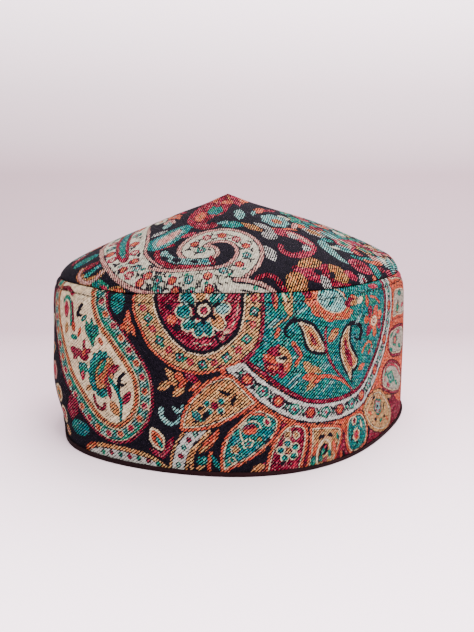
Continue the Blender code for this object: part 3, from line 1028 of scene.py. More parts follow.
def lay_blue_flower(cloth):
    """The pale blue flower and the leaves round the peak's right side."""
    cloth.blooms(
        ("ice", 23.6, -30, 17, 17, 0, 7, 0.18),
        ((("orange", 0), ("gold", 1)), 24.6, -30.6, 6.6, 7, 20, 5, 0.2),
    )
    cloth.leaf("blush", 34.4, -31, 12, 3.6, 75)
    cloth.stem("orange", 2, ((34, -37), (30, -38), (26, -40.6), (21, -42.4)))
    cloth.leaf("ice", 4.6, -28.4, 15, 6, 84)
    cloth.bloom("teal", 0, -41.4, 12, 7.4, -10, 5, 0.2)
    cloth.leaves(
        ("ice", -5, -38.6, 7, 3, 20), ("gold", 10.4, -43.4, 14, 5, -36),
        ("sand", 16.6, -41.6, 13, 4.6, -38),
    )
    cloth.bloom("sand", 19, -50.4, 8, 9.4)
    cloth.leaves(
        ("sand", 18.2, -68.4, 14, 6.4, 108), ("orange", 16.6, -17.4, 14, 5, 65),
        ("ice", 12.4, -24, 9, 2.4, 75), ("crimson", 22, -13, 12, 4, 60), ("green", 36, -20, 12, 5, 70),
    )


def lay_flower_crowd(cloth):
    """The crowd of small flowers at the crown's right, and the pale tapering leaf."""
    cloth.bloom((("sand", 0), ("gold", 1.4)), 45, -31.4, 14, 11, 10, 6, 0.24)
    cloth.leaves(("orange", 38.6, -28, 9, 4, 70), ("teal", 52, -36, 10, 4.4, 40))
    cloth.blooms(
        ((("rose", 0), ("blush", 1.6), ("green", 3.6)), 62, -28.6, 14, 15, 20, 5, 0.22),
        ("ice", 54, -24, 10, 9, 0, 5, 0.2),
    )
    cloth.leaves(
        ("crimson", 47, -20, 13, 5, 60), ("rose", 68, -15, 13, 8, 30),
        ((("ice", 0), ("teal", 1.8)), 62, -38.4, 15, 7, 30), ("cream", 56, -43, 9, 3, 30),
    )
    cloth.blooms(
        ((("rose", 0), ("orange", 1.2)), 68.6, -35.4, 7.4, 6.4, 0, 5, 0.2),
        ((("gold", 0), ("green", 1.8)), 73, -24.4, 10, 9, 0, 5, 0.25),
        ("blush", 80, -30, 9, 8, 20, 5, 0.25),
    )
    cloth.stem("teal", 3, ((66, -44.4), (72, -40.6), (76.4, -35)))
    cloth.stem("orange", 3, ((73.4, -41.4), (78, -38.4), (82.6, -31.4)))
    cloth.leaf("crimson", 84, -37, 9, 3, 50)
    cloth.blooms(
        ((("ice", 0), ("cream", 1.8)), 84.6, -24, 9.6, 10, 0, 5, 0.25),
        ((("ice", 0), ("green", 2)), 90, -17, 9, 11, 0, 5, 0.25),
    )
    cloth.stem("crimson", 3, ((74, -17), (79, -13), (84, -4)))
    cloth.leaf("rose", 90, -29, 11, 4, 60)
    cloth.patch("ice", ((45.6, -44), (48, -52), (54, -58), (61, -59), (57, -53), (54, -47), (50, -40)))
    cloth.leaf("teal", 50, -47, 6, 1.6, -40)


def lay_rose_curl(cloth):
    """The rose curl in the middle of the crown's right half."""
    cloth.stem(
        "rose", 2.6,
        ((24, -60), (24.6, -65), (28.4, -67.4), (34, -66), (39, -60.5), (40.5, -53.5), (37, -47.6),
         (31, -45), (26, -44.6)),
        end_width=9.4,
    )
    cloth.stem("crimson", 1.3, ((24.6, -61.4), (26, -65), (29, -66.2), (34, -64.8), (37.6, -60.4)))
    cloth.stem("blush", 3.4, ((40.6, -50.4), (36, -45.6), (30, -43.4)))
    cloth.bloom("sand", 31.6, -47, 6, 4.6, -20)
    cloth.leaf("sand", 37.8, -57.4, 8, 4.6, 75)


def lay_seam_flower(cloth):
    """The gold and crimson flower by the seam, and the claw by the spiral's tail."""
    cloth.patch(
        "crimson",
        ((29.4, -77), (33, -75.6), (38, -75), (44, -70), (48, -68.4), (50, -71.6), (48.6, -76.4), (55, -76),
         (62.6, -72), (58.6, -76.4), (50, -80.6), (42, -82.6), (34, -83), (29.4, -81)),
    )
    cloth.patch(
        "gold",
        ((36, -68), (41, -66.2), (44.6, -68), (43.2, -72), (39.4, -75.6), (34, -77.6), (31.4, -76),
         (33, -71.6)),
    )
    cloth.patch(
        "rose", ((31, -77.6), (36, -76.2), (40, -74.8), (39, -78), (42.6, -81), (38, -82.2), (31, -81.4)),
    )
    cloth.patch(
        "gold", ((27.6, -82), (32, -80.8), (35, -82.4), (36.8, -86), (36, -91), (28, -92.4), (25.2, -88)),
    )
    cloth.patch(
        "gold", ((48, -68), (52, -67.2), (57, -67.8), (60.6, -70), (58, -74.4), (52, -76), (48.4, -74)),
    )
    cloth.blooms(
        ("ground", 41.8, -76.6, 5.6, 3.8, -10), ("ground", 50, -74.6, 4, 3.6, 10),
        ("ground", 40.6, -85.4, 9, 5, 10),
    )
    cloth.leaves(("sand", 46.8, -80.8, 9, 5.4, -30), ("rose", 62, -67, 10, 4.4, 20))
    cloth.blooms(("sand", 71, -62.6, 9, 6.4, 25, 5, 0.2), ("crimson", 72, -62, 4, 3.2))
    cloth.patch(
        (("rose", 0), ("crimson", 2.4)),
        ((62, -53), (68, -46.4), (74, -47.6), (77.4, -50), (73, -56), (66, -60), (62, -58)),
    )
    cloth.blooms(((("teal", 0), ("ice", 2.4)), 79.6, -44.4, 9.6, 8, 20), ("orange", 80, -52, 5, 4))
    cloth.stem("crimson", 2.4, ((11.4, -88.6), (16, -86), (20, -86.8), (23, -89.6), (25.4, -92)))


def lay_floret(cloth, kind, u, v, turn=0):
    """One small flower of the spiral's pale band."""
    layers = {
        "orange": (("rose", 0), ("orange", 0.55), ("gold", 1.9)),
        "rose": (("green", 0), ("ice", 0.7), ("rose", 1.4)),
        "blush": (("rose", 0), ("blush", 0.9)),
        "ice": (("teal", 0), ("ice", 0.6), ("blush", 1.5)),
    }
    cloth.bloom(layers[kind], u, v, 5.2 + max(0, v + 62) * 0.08, 4.8, turn, 6, 0.16)


def lay_twig(cloth, u, v, turn):
    """A thin dark twig with two leaves."""
    lean = math.radians(turn)
    cloth.leaf("ground", u, v, 4.2, 1, turn)
    for side in (-1, 1):
        at_u = u + math.cos(lean) * 1.4 - math.sin(lean) * 0.9 * side
        at_v = v + math.sin(lean) * 1.4 + math.cos(lean) * 0.9 * side
        cloth.leaf("ground", at_u, at_v, 2.6, 1.1, turn + 48 * side)


def lay_spiral(cloth):
    """The large spiral paisley's pale band, which winds in on the left of the front."""
    edge = (("ground", -7.7), ("blush", -7.1), ("ground", -5.3), ("cream", -4.7))
    cloth.strip((("ground", -5.8), ("blush", -5.3), ("ground", -4.1), ("cream", -3.4)), SPIRAL_INNER_LIMB)
    cloth.strip(edge, SPIRAL)
    # Where the two limbs run side by side, their pale cloth joins round a teal leaf
    cloth.patch(
        "cream",
        ((-63.4, 8), (-63.8, -28), (-61.4, -45), (-57.8, -60), (-51, -71), (-44, -76), (-40, -70),
         (-43.4, -58), (-43.2, -45), (-43, -30), (-44, 8)),
    )
    cloth.patch(
        (("crimson", 0), ("teal", 1.7)),
        ((-57.2, 10), (-57.4, -16), (-57.2, -33), (-56, -50), (-54.2, -57.4), (-52, -61), (-49.8, -58.4),
         (-50.6, -40), (-50.6, 10)),
    )
    cloth.bloom("rose", -52.2, -57.6, 3, 3.6)
    # At the front the pale band runs under the seam
    cloth.patch("cream", ((-38.6, -88), (-30, -88.6), (-14, -90), (2, -88), (4, -92), (6, -99), (-38, -99)))


def lay_spiral_florets(cloth):
    """The florets, twigs and small leaves on the spiral's pale band."""
    for kind, u, v in (
        ("rose", -59.6, -14), ("blush", -60, -26), ("rose", -59.5, -37), ("orange", -59, -46),
        ("blush", -57.5, -54), ("orange", -47.4, -14), ("rose", -47.6, -28), ("orange", -48, -42),
        ("blush", -47.5, -53.5), ("orange", -47, -62.5), ("orange", -52, -67), ("ice", -45.5, -69),
        ("blush", -49, -72.5), ("orange", -40, -77), ("orange", -44, -79.5), ("rose", -35.5, -82),
        ("orange", -28.5, -85), ("ice", -20.5, -87), ("orange", -11.5, -86.6), ("rose", -35.6, -87.8),
        ("orange", -27.5, -90.8), ("rose", -20, -93.4), ("orange", -11, -93.6), ("ice", -4.2, -83.8),
        ("orange", 3.5, -79), ("ice", 7.2, -71), ("orange", 6.7, -62.5), ("blush", 1.8, -56.4),
        ("orange", -5.5, -53), ("blush", -13, -54.4), ("orange", -19, -59.4), ("rose", -15.4, -66),
    ):
        lay_floret(cloth, kind, u, v, 90)
    for u, v, turn in (
        (-61, -20, 100), (-57.6, -31, 70), (-61, -41.5, 110), (-49, -20.5, 80), (-45.8, -35, 100),
        (-49, -47.6, 75), (-45.6, -58, 110), (-56, -60, -50), (-54.6, -66.6, -30), (-50.4, -63, 20),
        (-48.6, -67.6, 60), (-45, -73.6, -70), (-44, -75.2, -10), (-40.4, -72, 40), (-40.6, -82, -70),
        (-38.6, -79.6, -25), (-36.4, -78.4, 50), (-33, -79.4, -20), (-39.6, -84.6, -30), (-32, -84.6, -35),
        (-31.6, -88.4, 150), (-31.4, -92.4, 20), (-24.4, -84, 30), (-24.2, -88, -20), (-23.6, -91.6, 160),
        (-24, -95, 40), (-16.6, -84.6, 25), (-16.2, -88.6, -30), (-15.6, -91.6, 160), (-15.4, -95, 30),
        (-8.4, -83.6, 60), (-7.4, -87, -40), (-7.6, -91, 20), (-6.6, -94.6, 150), (-2.6, -88, 30),
        (-2, -91.6, -30), (1.4, -91, 40), (2, -95, -20), (-0.4, -80.6, 40), (0.8, -83.6, 200),
        (5, -74.6, 50), (8.8, -75.8, 80), (9.4, -66.6, 110), (3.8, -66.4, 60), (4, -60.4, 130),
        (9.2, -59.4, 100), (-1.2, -53.2, 170), (-2.4, -56.4, 200), (-9.2, -52.2, 170), (-9.4, -56, 200),
        (-16, -55.6, 210), (-17.4, -61.6, 250), (-21.6, -62.4, 260), (-18.4, -67.2, 300),
        (-12.6, -66.4, 20),
    ):
        lay_twig(cloth, u, v, turn)
    for u, v in (
        (-53.6, -63.4), (-42.6, -71.4), (-37.4, -85), (-29.6, -81.6), (-21.4, -83.6), (-12.4, -90.4),
        (-1, -86.4), (5.4, -82.4),
    ):
        cloth.leaf("green", u, v, 2.6, 1.4, 30)


def lay_spiral_tail(cloth):
    """The spiral's tail, which runs on along the seam."""
    cloth.patch(
        "cream", ((-4, -99), (-2, -91.4), (4, -91.6), (10, -92.2), (14, -93), (18.4, -94.6), (14, -99)),
    )
    cloth.stem(
        (("ground", -0.7), ("blush", 0)), 1.7, ((1, -89.4), (8, -90), (13, -90.8), (18, -92.4), (21, -94)),
    )
    cloth.leaves(("ground", 4.6, -91.2, 9, 0.9, -4), ("ground", 9, -95, 12, 1, -6))
    cloth.bloom("green", 11.2, -93.2, 2.2, 1.8)


def lay_inner_leaf(cloth):
    """The leaf inside the spiral."""
    cloth.stem(
        "crimson", 2.6,
        ((-30, -56.4), (-34.6, -56.6), (-37, -60), (-35.6, -67.4), (-29.4, -75), (-20, -78.4),
         (-12, -78.6)),
    )
    cloth.stem(
        "ice", 3.6, ((-33.4, -62), (-31.6, -67), (-26.4, -71.6), (-18.6, -75), (-11.6, -76.4)),
        end_width=4.4,
    )
    for u, v, length, width, turn in (
        (-33, -67.2, 5, 3.4, -60), (-27, -71.2, 6.4, 3.6, -40), (-18.4, -75, 6.4, 2.6, -30),
    ):
        cloth.bloom("ground", u, v, length, width, turn, 5, 0.15)
    cloth.leaves(("crimson", -9.8, -75.4, 8, 3, 100), ("teal", -13, -76, 4.4, 1.6, -20))


def lay_left_of_peak(cloth):
    """The teal flower and the leaves between the spiral and the peak."""
    cloth.patch(
        (("teal", 0), ("ice", 2.4), ("blush", 4)),
        ((-41.8, -52), (-40.6, -45), (-36, -39.6), (-30, -35.4), (-23.6, -34.6), (-21.6, -40), (-24, -47.4),
         (-29, -53.8), (-34.6, -57.4), (-39.6, -57)),
    )
    cloth.leaves(("sand", -37, -36.6, 9, 4, 30), ("rose", -22.4, -48.6, 9, 4.4, 15))
    cloth.bloom("teal", -22.6, -38.6, 9, 5, 20, 5, 0.2)
    cloth.leaf("ice", -33, -27, 9, 4, 70)


def lay_peak(cloth):
    """The crimson paisley that runs up to the peak, and the flower at its top."""
    cloth.patch(
        "crimson",
        ((4, -2), (-2, 4), (-9, 0), (-15, -8), (-20.6, -18), (-23.4, -30), (-20.6, -40), (-15.4, -45),
         (-10, -44), (-7.6, -40.6), (-10.6, -37.6), (-12, -40), (-13.6, -36.6), (-10.6, -31.6), (-4, -27),
         (-0.6, -20), (2, -12)),
    )
    cloth.leaf((("orange", 0), ("gold", 2.2)), -16.6, -27, 17, 6, 82)
    cloth.bloom("teal", -8.4, -21.4, 8.6, 12, -12, 6, 0.15)
    cloth.leaf("green", -9.4, -18.4, 9, 3.4, 80)
    cloth.bloom((("orange", 0), ("crimson", 4.4)), 1, -3.4, 21, 22, 0, 7, 0.15)
    cloth.leaves(
        ("crimson", -3.6, -6, 12, 3.4, 70), ("crimson", 5.4, -7.6, 11, 3, 125),
        ("gold", 0.6, -6.6, 10, 1.6, 95), ("rose", 4.6, -11.6, 10, 3, 110),
    )


# Cloth meshes


def add_object(name, data):
    made = bpy.data.objects.new(name, data)
    bpy.context.scene.collection.objects.link(made)
    return made


def one_peak(values, columns):
    """A capped grid's values: its first row is a single point, the peak."""
    return np.concatenate([values[:1], values[columns:]])


def add_closed_cloth(name, outer, wall, inner_rows, attributes, capped, materials):
    """A closed piece from a grid of outer points, rows from the top down, with a plainer inner face."""
    rows, columns = outer.shape[:2]
    down = np.gradient(outer, axis=0)
    along = (np.roll(outer, -1, axis=1) - np.roll(outer, 1, axis=1)) / 2
    facing = np.cross(down, along)
    facing /= np.maximum(np.linalg.norm(facing, axis=2, keepdims=True), 1e-9)
    if capped:
        facing[0] = (0, 0, 1)
    inner = (outer - facing * wall)[inner_rows]
    kept = len(inner_rows)
    skip, short = 0, 0
    sides = [outer.reshape(-1, 3), inner.reshape(-1, 3)]
    if capped:
        skip, short = 1, columns - 1
        sides = [one_peak(side, columns) for side in sides]
    points = np.concatenate(sides)
    column = np.arange(columns)
    after = (column + 1) % columns

    def outer_at(row):
        return row * columns - short

    def inner_at(row):
        return outer_at(rows) + outer_at(row)

    quads = []
    for row in range(skip, rows - 1):
        top, low = outer_at(row), outer_at(row + 1)
        quads.append(np.stack([top + column, low + column, low + after, top + after], 1))
    outer_quads = sum(len(q) for q in quads)
    for row in range(skip, kept - 1):
        top, low = inner_at(row), inner_at(row + 1)
        quads.append(np.stack([top + column, top + after, low + after, low + column], 1))
    top, low = outer_at(rows - 1), inner_at(kept - 1)
    quads.append(np.stack([top + column, low + column, low + after, top + after], 1))
    if not capped:
        quads.append(np.stack([column, after, inner_at(0) + after, inner_at(0) + column], 1))
    quads = np.concatenate(quads)
    fans = []
    if capped:
        peak = np.full(columns, outer_at(rows))
        fans.append(np.stack([0 * column, outer_at(1) + column, outer_at(1) + after], 1))
        fans.append(np.stack([peak, inner_at(1) + after, inner_at(1) + column], 1))
    faces = quads.tolist()
    for fan in fans:
        faces.extend(fan.tolist())
    mesh = bpy.data.meshes.new(name)
    mesh.from_pydata((points * MM).tolist(), [], faces)
    for material in materials:
        mesh.materials.append(material)
    inside = np.zeros(len(faces), np.int32)
    inside[outer_quads : len(quads)] = 1
    if capped:
        inside[len(quads) + columns :] = 1
    mesh.polygons.foreach_set("material_index", inside)
    for key, values in attributes.items():
        full = np.full(len(points), FAR, np.float32)
        full[: len(values)] = values
        mesh.attributes.new(key, "FLOAT", "POINT").data.foreach_set("value", full)
    mesh.shade_smooth()
    mesh.validate()
    return add_object(name, mesh)


def soft_waves(angle, height, size):
    """Slow unevenness of stiffened cloth, in mm."""
    slow = np.sin(5 * angle + height / 17) * 0.5
    quicker = np.sin(9 * angle - height / 11 + 1.3) * 0.3
    return size * (slow + quicker + np.sin(14 * angle + height / 23 + 4) * 0.2)


def seam_dip(angle, height):
    """How far the hand-sewn seam, and the cloth by it, sags at the left of the front, in mm."""
    return swell(from_front(angle), DIP_ROUND) * swell(height, DIP_UP)


def foot_tuck(angle, height):
    """How far the soft band's foot draws in at the left end, in mm."""
    return swell(from_front(angle), TUCK_ROUND) * swell(height, TUCK_UP)


def profile_path(table):
    """A profile's smooth line, as (radius, height) points in mm."""
    return smooth_path([(point.share * MEAN_RADIUS, point.height) for point in table], 0.25)


def weave(lay_all, front, back, front_ground):
    """The cloth's attributes: the pattern is laid at the back, then cleared and laid again on the front."""
    pattern = Pattern(*back)
    lay_all(pattern)
    pattern.u, pattern.v = front
    pattern.patch("ground", front_ground)
    lay_all(pattern)
    return {**pattern.depth, "cloth_u": front[0], "cloth_v": front[1]}


def kept_rows(rows, count):
    """The rows that the plainer inner face keeps."""
    return np.unique(np.linspace(0, rows - 1, count).astype(int))


def make_band(cloth_finish, inside_finish):
    path, _ = even_rows(profile_path(BAND_PROFILE), BAND_ROWS)
    angle = column_angles(BAND_FINE, BAND_COARSE)[None, :]
    radius, height = path[:, :1], path[:, 1:]
    pucker = PUCKER._replace(size=PUCKER.size * np.sin(angle * MEAN_RADIUS * math.tau / PUCKER_PITCH))
    line = swell(height, SEAM_GROOVE) + swell(height, STITCH_GROOVE) + swell(height, ROLL_OVER_STITCHES)
    waves = soft_waves(angle, height, BAND_WAVES) * grown(height, 2, 10)
    closing = swell(from_back(angle), CLOSING_SEAM) + swell(from_back(angle), CLOSING_LIP)
    belly = swell(from_front(angle), BELLY_ROUND) * swell(height, BELLY_UP)
    reach = radius * plan_radius(angle) / MEAN_RADIUS + line + swell(height, pucker) + waves + closing
    reach += belly - foot_tuck(angle, height)
    x = reach * np.cos(angle) - MIDDLE_X
    y = reach * np.sin(angle) - MIDDLE_Y
    z = np.broadcast_to(height, x.shape)
    outer = np.stack([x, y, z + seam_dip(angle, height)], 2)
    u = np.broadcast_to(from_front(angle), x.shape).ravel()
    v = z.ravel()
    opposite = np.where(u > 0, u - ROUND / 2, u + ROUND / 2)
    front_ground = ((-104, -9), (118, -9), (134, 20), (120, 95), (-112, 95), (-106, 40))
    attributes = weave(lay_band_pattern, (u, v), (opposite, v), front_ground)
    inner_rows = kept_rows(BAND_ROWS, 9)
    finishes = (cloth_finish, inside_finish)
    return add_closed_cloth("band_shawl_cloth", outer, BAND_WALL, inner_rows, attributes, False, finishes)


def make_crown(cloth_finish, inside_finish):
    path, at = even_rows(profile_path(CROWN_PROFILE), CROWN_ROWS)
    angle = column_angles(CROWN_FINE, CROWN_COARSE)[None, :]
    radius, height = path[:, :1], path[:, 1:]
    at = at[:, None]
    to_rim = at[-1] - at
    foot = CROWN_PROFILE[-1].height
    lean = np.minimum(np.minimum(1, (height - foot) / LEAN_STARTS_OVER), radius / LEAN_ENDS_WITHIN)
    height = height + CROWN_LEAN * lean * np.cos(angle)
    waves = soft_waves(angle + 0.7, at, CROWN_WAVES) * (grown(at, 0, 25) * grown(to_rim, 0, 8))
    dart = swell(from_back(angle) * at / at[-1], CROWN_DART) * grown(at, 0, 12)
    rim = swell(to_rim, CROWN_SEAM_GROOVE) + swell(to_rim, CROWN_ROLL)
    reach = radius * plan_radius(angle) / MEAN_RADIUS + rim
    aside = swell(at, Swell(at=0, size=PEAK_ASIDE, width=PEAK_ASIDE_WITHIN))
    x = reach * np.cos(angle) - MIDDLE_X - aside * math.cos(CROWN_TURN)
    y = reach * np.sin(angle) - MIDDLE_Y - aside * math.sin(CROWN_TURN)
    outer = np.stack([x, y, height + waves + dart + seam_dip(angle, height)], 2)
    u = (at * np.cos(angle - CROWN_TURN)).ravel()
    v = (at * np.sin(angle - CROWN_TURN)).ravel()
    front_ground = ((-110, -6), (-40, 2), (0, 14), (40, 2), (110, -6), (60, -105), (-60, -105))
    attributes = weave(lay_crown_pattern, (u, v), (-u, -v), front_ground)
    attributes = {key: one_peak(values, angle.size) for key, values in attributes.items()}
    inner_rows = kept_rows(CROWN_ROWS, 12)
    finishes = (cloth_finish, inside_finish)
    return add_closed_cloth("crown_shawl_cloth", outer, CROWN_WALL, inner_rows, attributes, True, finishes)


def make_binding(finish):
    """The folded strip round the lower edge, a rounded U section that follows the plan."""
    # How far out and how high each corner is: the outer fold, the under-face, then the inner fold
    section = (
        (0.3, 2.1), (0.75, 2.15), (1.05, 1.8), (1.1, 1.2), (1.05, 0.5), (0.8, 0.08), (0.2, 0.0),
        (-1.2, 0.0), (-2.6, 0.0), (-3.2, 0.08), (-3.45, 0.5), (-3.5, 1.4), (-3.5, 4.5), (-3.5, 7.6),
        (-3.3, 8.0), (-2.9, 8.0), (-2.7, 7.6), (-2.7, 4.5), (-2.7, 1.3), (-2.4, 0.9), (0.0, 0.9),
        (0.3, 1.3),
    )
    angle = column_angles(BINDING_FINE, BINDING_COARSE)
    step = math.radians(0.5)
    edges = []
    for turn in (angle, angle - step, angle + step):
        radius = plan_radius(turn) - foot_tuck(turn, 1)
        edges.append((radius * np.cos(turn), radius * np.sin(turn)))
    (plan_x, plan_y), (before_x, before_y), (after_x, after_y) = edges
    length = np.hypot(after_x - before_x, after_y - before_y)
    out_x, out_y = (after_y - before_y) / length, (before_x - after_x) / length
    columns = len(angle)
    # The outer fold stands higher on the -X side
    ripple = FOLD_RIPPLE * np.sin(angle * MEAN_RADIUS * math.tau / FOLD_RIPPLE_PITCH)
    fold = FOLD_SHARE - FOLD_SLOPE * np.cos(angle) + ripple
    points = []
    for i, (offset, height) in enumerate(section):
        z = height * (fold if i < FOLD_POINTS else np.ones(columns))
        x = plan_x + out_x * offset - MIDDLE_X
        y = plan_y + out_y * offset - MIDDLE_Y
        points.append(np.stack([x, y, z], 1))
    points = np.concatenate(points)
    column = np.arange(columns)
    after = (column + 1) % columns
    faces = []
    for row in range(len(section)):
        top, low = row * columns, (row + 1) % len(section) * columns
        faces.append(np.stack([top + column, low + column, low + after, top + after], 1))
    mesh = bpy.data.meshes.new("binding_strip")
    mesh.from_pydata((points * MM).tolist(), [], np.concatenate(faces).tolist())
    mesh.materials.append(finish)
    mesh.shade_smooth()
    return add_object("binding_strip", mesh)


# Finishes


class Value:
    """A number socket of a finish, used in arithmetic."""

    def __init__(self, finish, socket):
        self.finish = finish
        self.socket = socket

    def maths(self, operation, *others):
        sockets = dict(enumerate((self, *others)))
        return self.finish.number("ShaderNodeMath", {"operation": operation}, sockets)

    def __add__(self, other):
        return self.maths("ADD", other)

    def __sub__(self, other):
        return self.maths("SUBTRACT", other)

    def __mul__(self, other):
        return self.maths("MULTIPLY", other)

    def __truediv__(self, other):
        return self.maths("DIVIDE", other)

    def __rsub__(self, other):
        return self.finish.number("ShaderNodeMath", {"operation": "SUBTRACT"}, {0: other, 1: self})

    __radd__ = __add__
    __rmul__ = __mul__

    def floor(self):
        return self.maths("FLOOR")

    def fraction(self):
        return self.maths("FRACT")

    def size(self):
        return self.maths("ABSOLUTE")

    def within(self, low, high):
        """0 at low, 1 at high, and straight between them."""
        sockets = {0: self, 1: low, 2: high, 3: 0.0, 4: 1.0}
        return self.finish.number("ShaderNodeMapRange", {"clamp": True}, sockets)


class Nodes:
    """A node tree to which nodes are added by type, settings and sockets."""

    def __init__(self, tree):
        self.tree = tree

    def node(self, kind, settings, sockets):
        made = self.tree.nodes.new(kind)
        for key, value in settings.items():
            setattr(made, key, value)
        for key, value in sockets.items():
            self.fill(made.inputs[key], value)
        return made

    def fill(self, socket, value):
        if isinstance(value, Value):
            value = value.socket
        if isinstance(value, bpy.types.NodeSocket):
            self.tree.links.new(value, socket)
        else:
            socket.default_value = value


class Finish(Nodes):
    """A material, with the nodes that the cloths share."""

    def __init__(self, name, **fixed):
        self.material = bpy.data.materials.new(name)
        self.material.use_nodes = True
        super().__init__(self.material.node_tree)
        self.surface = self.tree.nodes["Principled BSDF"]
        for socket, value in fixed.items():
            self.surface.inputs[socket.replace("_", " ")].default_value = value

    def number(self, kind, settings, sockets, output=0):
        return Value(self, self.node(kind, settings, sockets).outputs[output])

    def attribute(self, name):
        return self.number("ShaderNodeAttribute", {"attribute_name": name}, {}, output=2)

    def point(self, x, y, z=0.0):
        return self.node("ShaderNodeCombineXYZ", {}, {0: x, 1: y, 2: z}).outputs[0]

    def noise(self, place, scale, detail=2.0):
        return self.number("ShaderNodeTexNoise", {}, {"Vector": place, "Scale": scale, "Detail": detail})

    def random(self, place):
        return self.number("ShaderNodeTexWhiteNoise", {"noise_dimensions": "3D"}, {"Vector": place})

    def mix(self, share, first, second, blend="MIX"):
        settings = {"data_type": "RGBA", "blend_type": blend}
        return self.node("ShaderNodeMix", settings, {0: share, 6: first, 7: second}).outputs[2]

    def finished(self, colour, shade, roughness, strength, depth, relief):
        """Fills the surface: the colour times the shade, the roughness, and the relief as a bump."""
        grey = self.node("ShaderNodeCombineColor", {}, {0: shade, 1: shade, 2: shade}).outputs[0]
        bump = self.node("ShaderNodeBump", {}, {"Strength": strength, "Distance": depth, "Height": relief})
        self.fill(self.surface.inputs["Base Color"], self.mix(1.0, colour, grey, "MULTIPLY"))
        self.fill(self.surface.inputs["Roughness"], roughness)
        self.fill(self.surface.inputs["Normal"], bump.outputs[0])
        return self.material


YARN_DEPTH = 0.42


def linear(red, green, blue, depth=1.0):
    """A colour given as 0 to 255 on a screen, as the shader's light values."""
    out = []
    for channel in (red, green, blue):
        c = channel / 255
        out.append(depth * (c / 12.92 if c <= 0.04045 else ((c + 0.055) / 1.055) ** 2.4))
    return (*out, 1.0)


def dyed(red, green, blue):
    """A yarn's colour, which in the stage's strong light is darker than it looks."""
    return linear(red, green, blue, YARN_DEPTH)


GROUND = dyed(13, 11, 20)
# A yarn's two tones, the dark between its picks, and how much of the cloth its picks cover
Yarn = namedtuple("Yarn", "main second dark cover")
YARNS = {
    "cream": Yarn(dyed(234, 215, 178), dyed(216, 192, 152), dyed(84, 60, 48), 0.80),
    "pale": Yarn(dyed(206, 208, 198), dyed(188, 186, 178), dyed(64, 54, 56), 0.76),
    "sage": Yarn(dyed(176, 178, 158), dyed(160, 146, 134), dyed(70, 52, 50), 0.72),
    "gold": Yarn(dyed(232, 176, 112), dyed(212, 134, 80), dyed(30, 12, 12), 0.52),
    "orange": Yarn(dyed(234, 112, 70), dyed(214, 76, 56), dyed(48, 10, 14), 0.58),
    "crimson": Yarn(dyed(140, 8, 46), dyed(160, 34, 66), dyed(18, 3, 14), 0.52),
    "rose": Yarn(dyed(214, 70, 96), dyed(184, 26, 62), dyed(40, 8, 22), 0.58),
    "blush": Yarn(dyed(216, 166, 150), dyed(196, 128, 122), dyed(54, 30, 34), 0.62),
    "sand": Yarn(dyed(226, 184, 120), dyed(210, 146, 98), dyed(40, 18, 18), 0.55),
    "teal": Yarn(dyed(20, 156, 140), dyed(6, 118, 124), dyed(4, 8, 20), 0.50),
    "green": Yarn(dyed(26, 152, 118), dyed(6, 112, 104), dyed(4, 22, 24), 0.58),
    "ice": Yarn(dyed(172, 218, 206), dyed(122, 188, 182), dyed(20, 36, 46), 0.56),
}
CROWN_YARNS = {
    **YARNS,
    "cream": Yarn(dyed(200, 196, 174), dyed(182, 176, 158), dyed(112, 104, 92), 0.80),
    "sand": Yarn(dyed(210, 210, 202), dyed(190, 184, 180), dyed(14, 12, 20), 0.44),
    "gold": Yarn(dyed(228, 162, 92), dyed(204, 122, 70), dyed(18, 8, 10), 0.41),
    "orange": Yarn(dyed(230, 112, 74), dyed(206, 84, 62), dyed(40, 10, 14), 0.58),
    "crimson": Yarn(dyed(160, 8, 46), dyed(178, 34, 66), dyed(16, 3, 12), 0.42),
    "rose": Yarn(dyed(216, 66, 94), dyed(182, 28, 66), dyed(24, 6, 18), 0.45),
    "ice": Yarn(dyed(158, 208, 198), dyed(112, 180, 176), dyed(10, 20, 30), 0.47),
}
# The pale that scattered strands are mixed towards: painted glints on the yarn
PAINTED_GLINT_STRAND = dyed(226, 220, 196)
TWILL_PITCH = 1.13


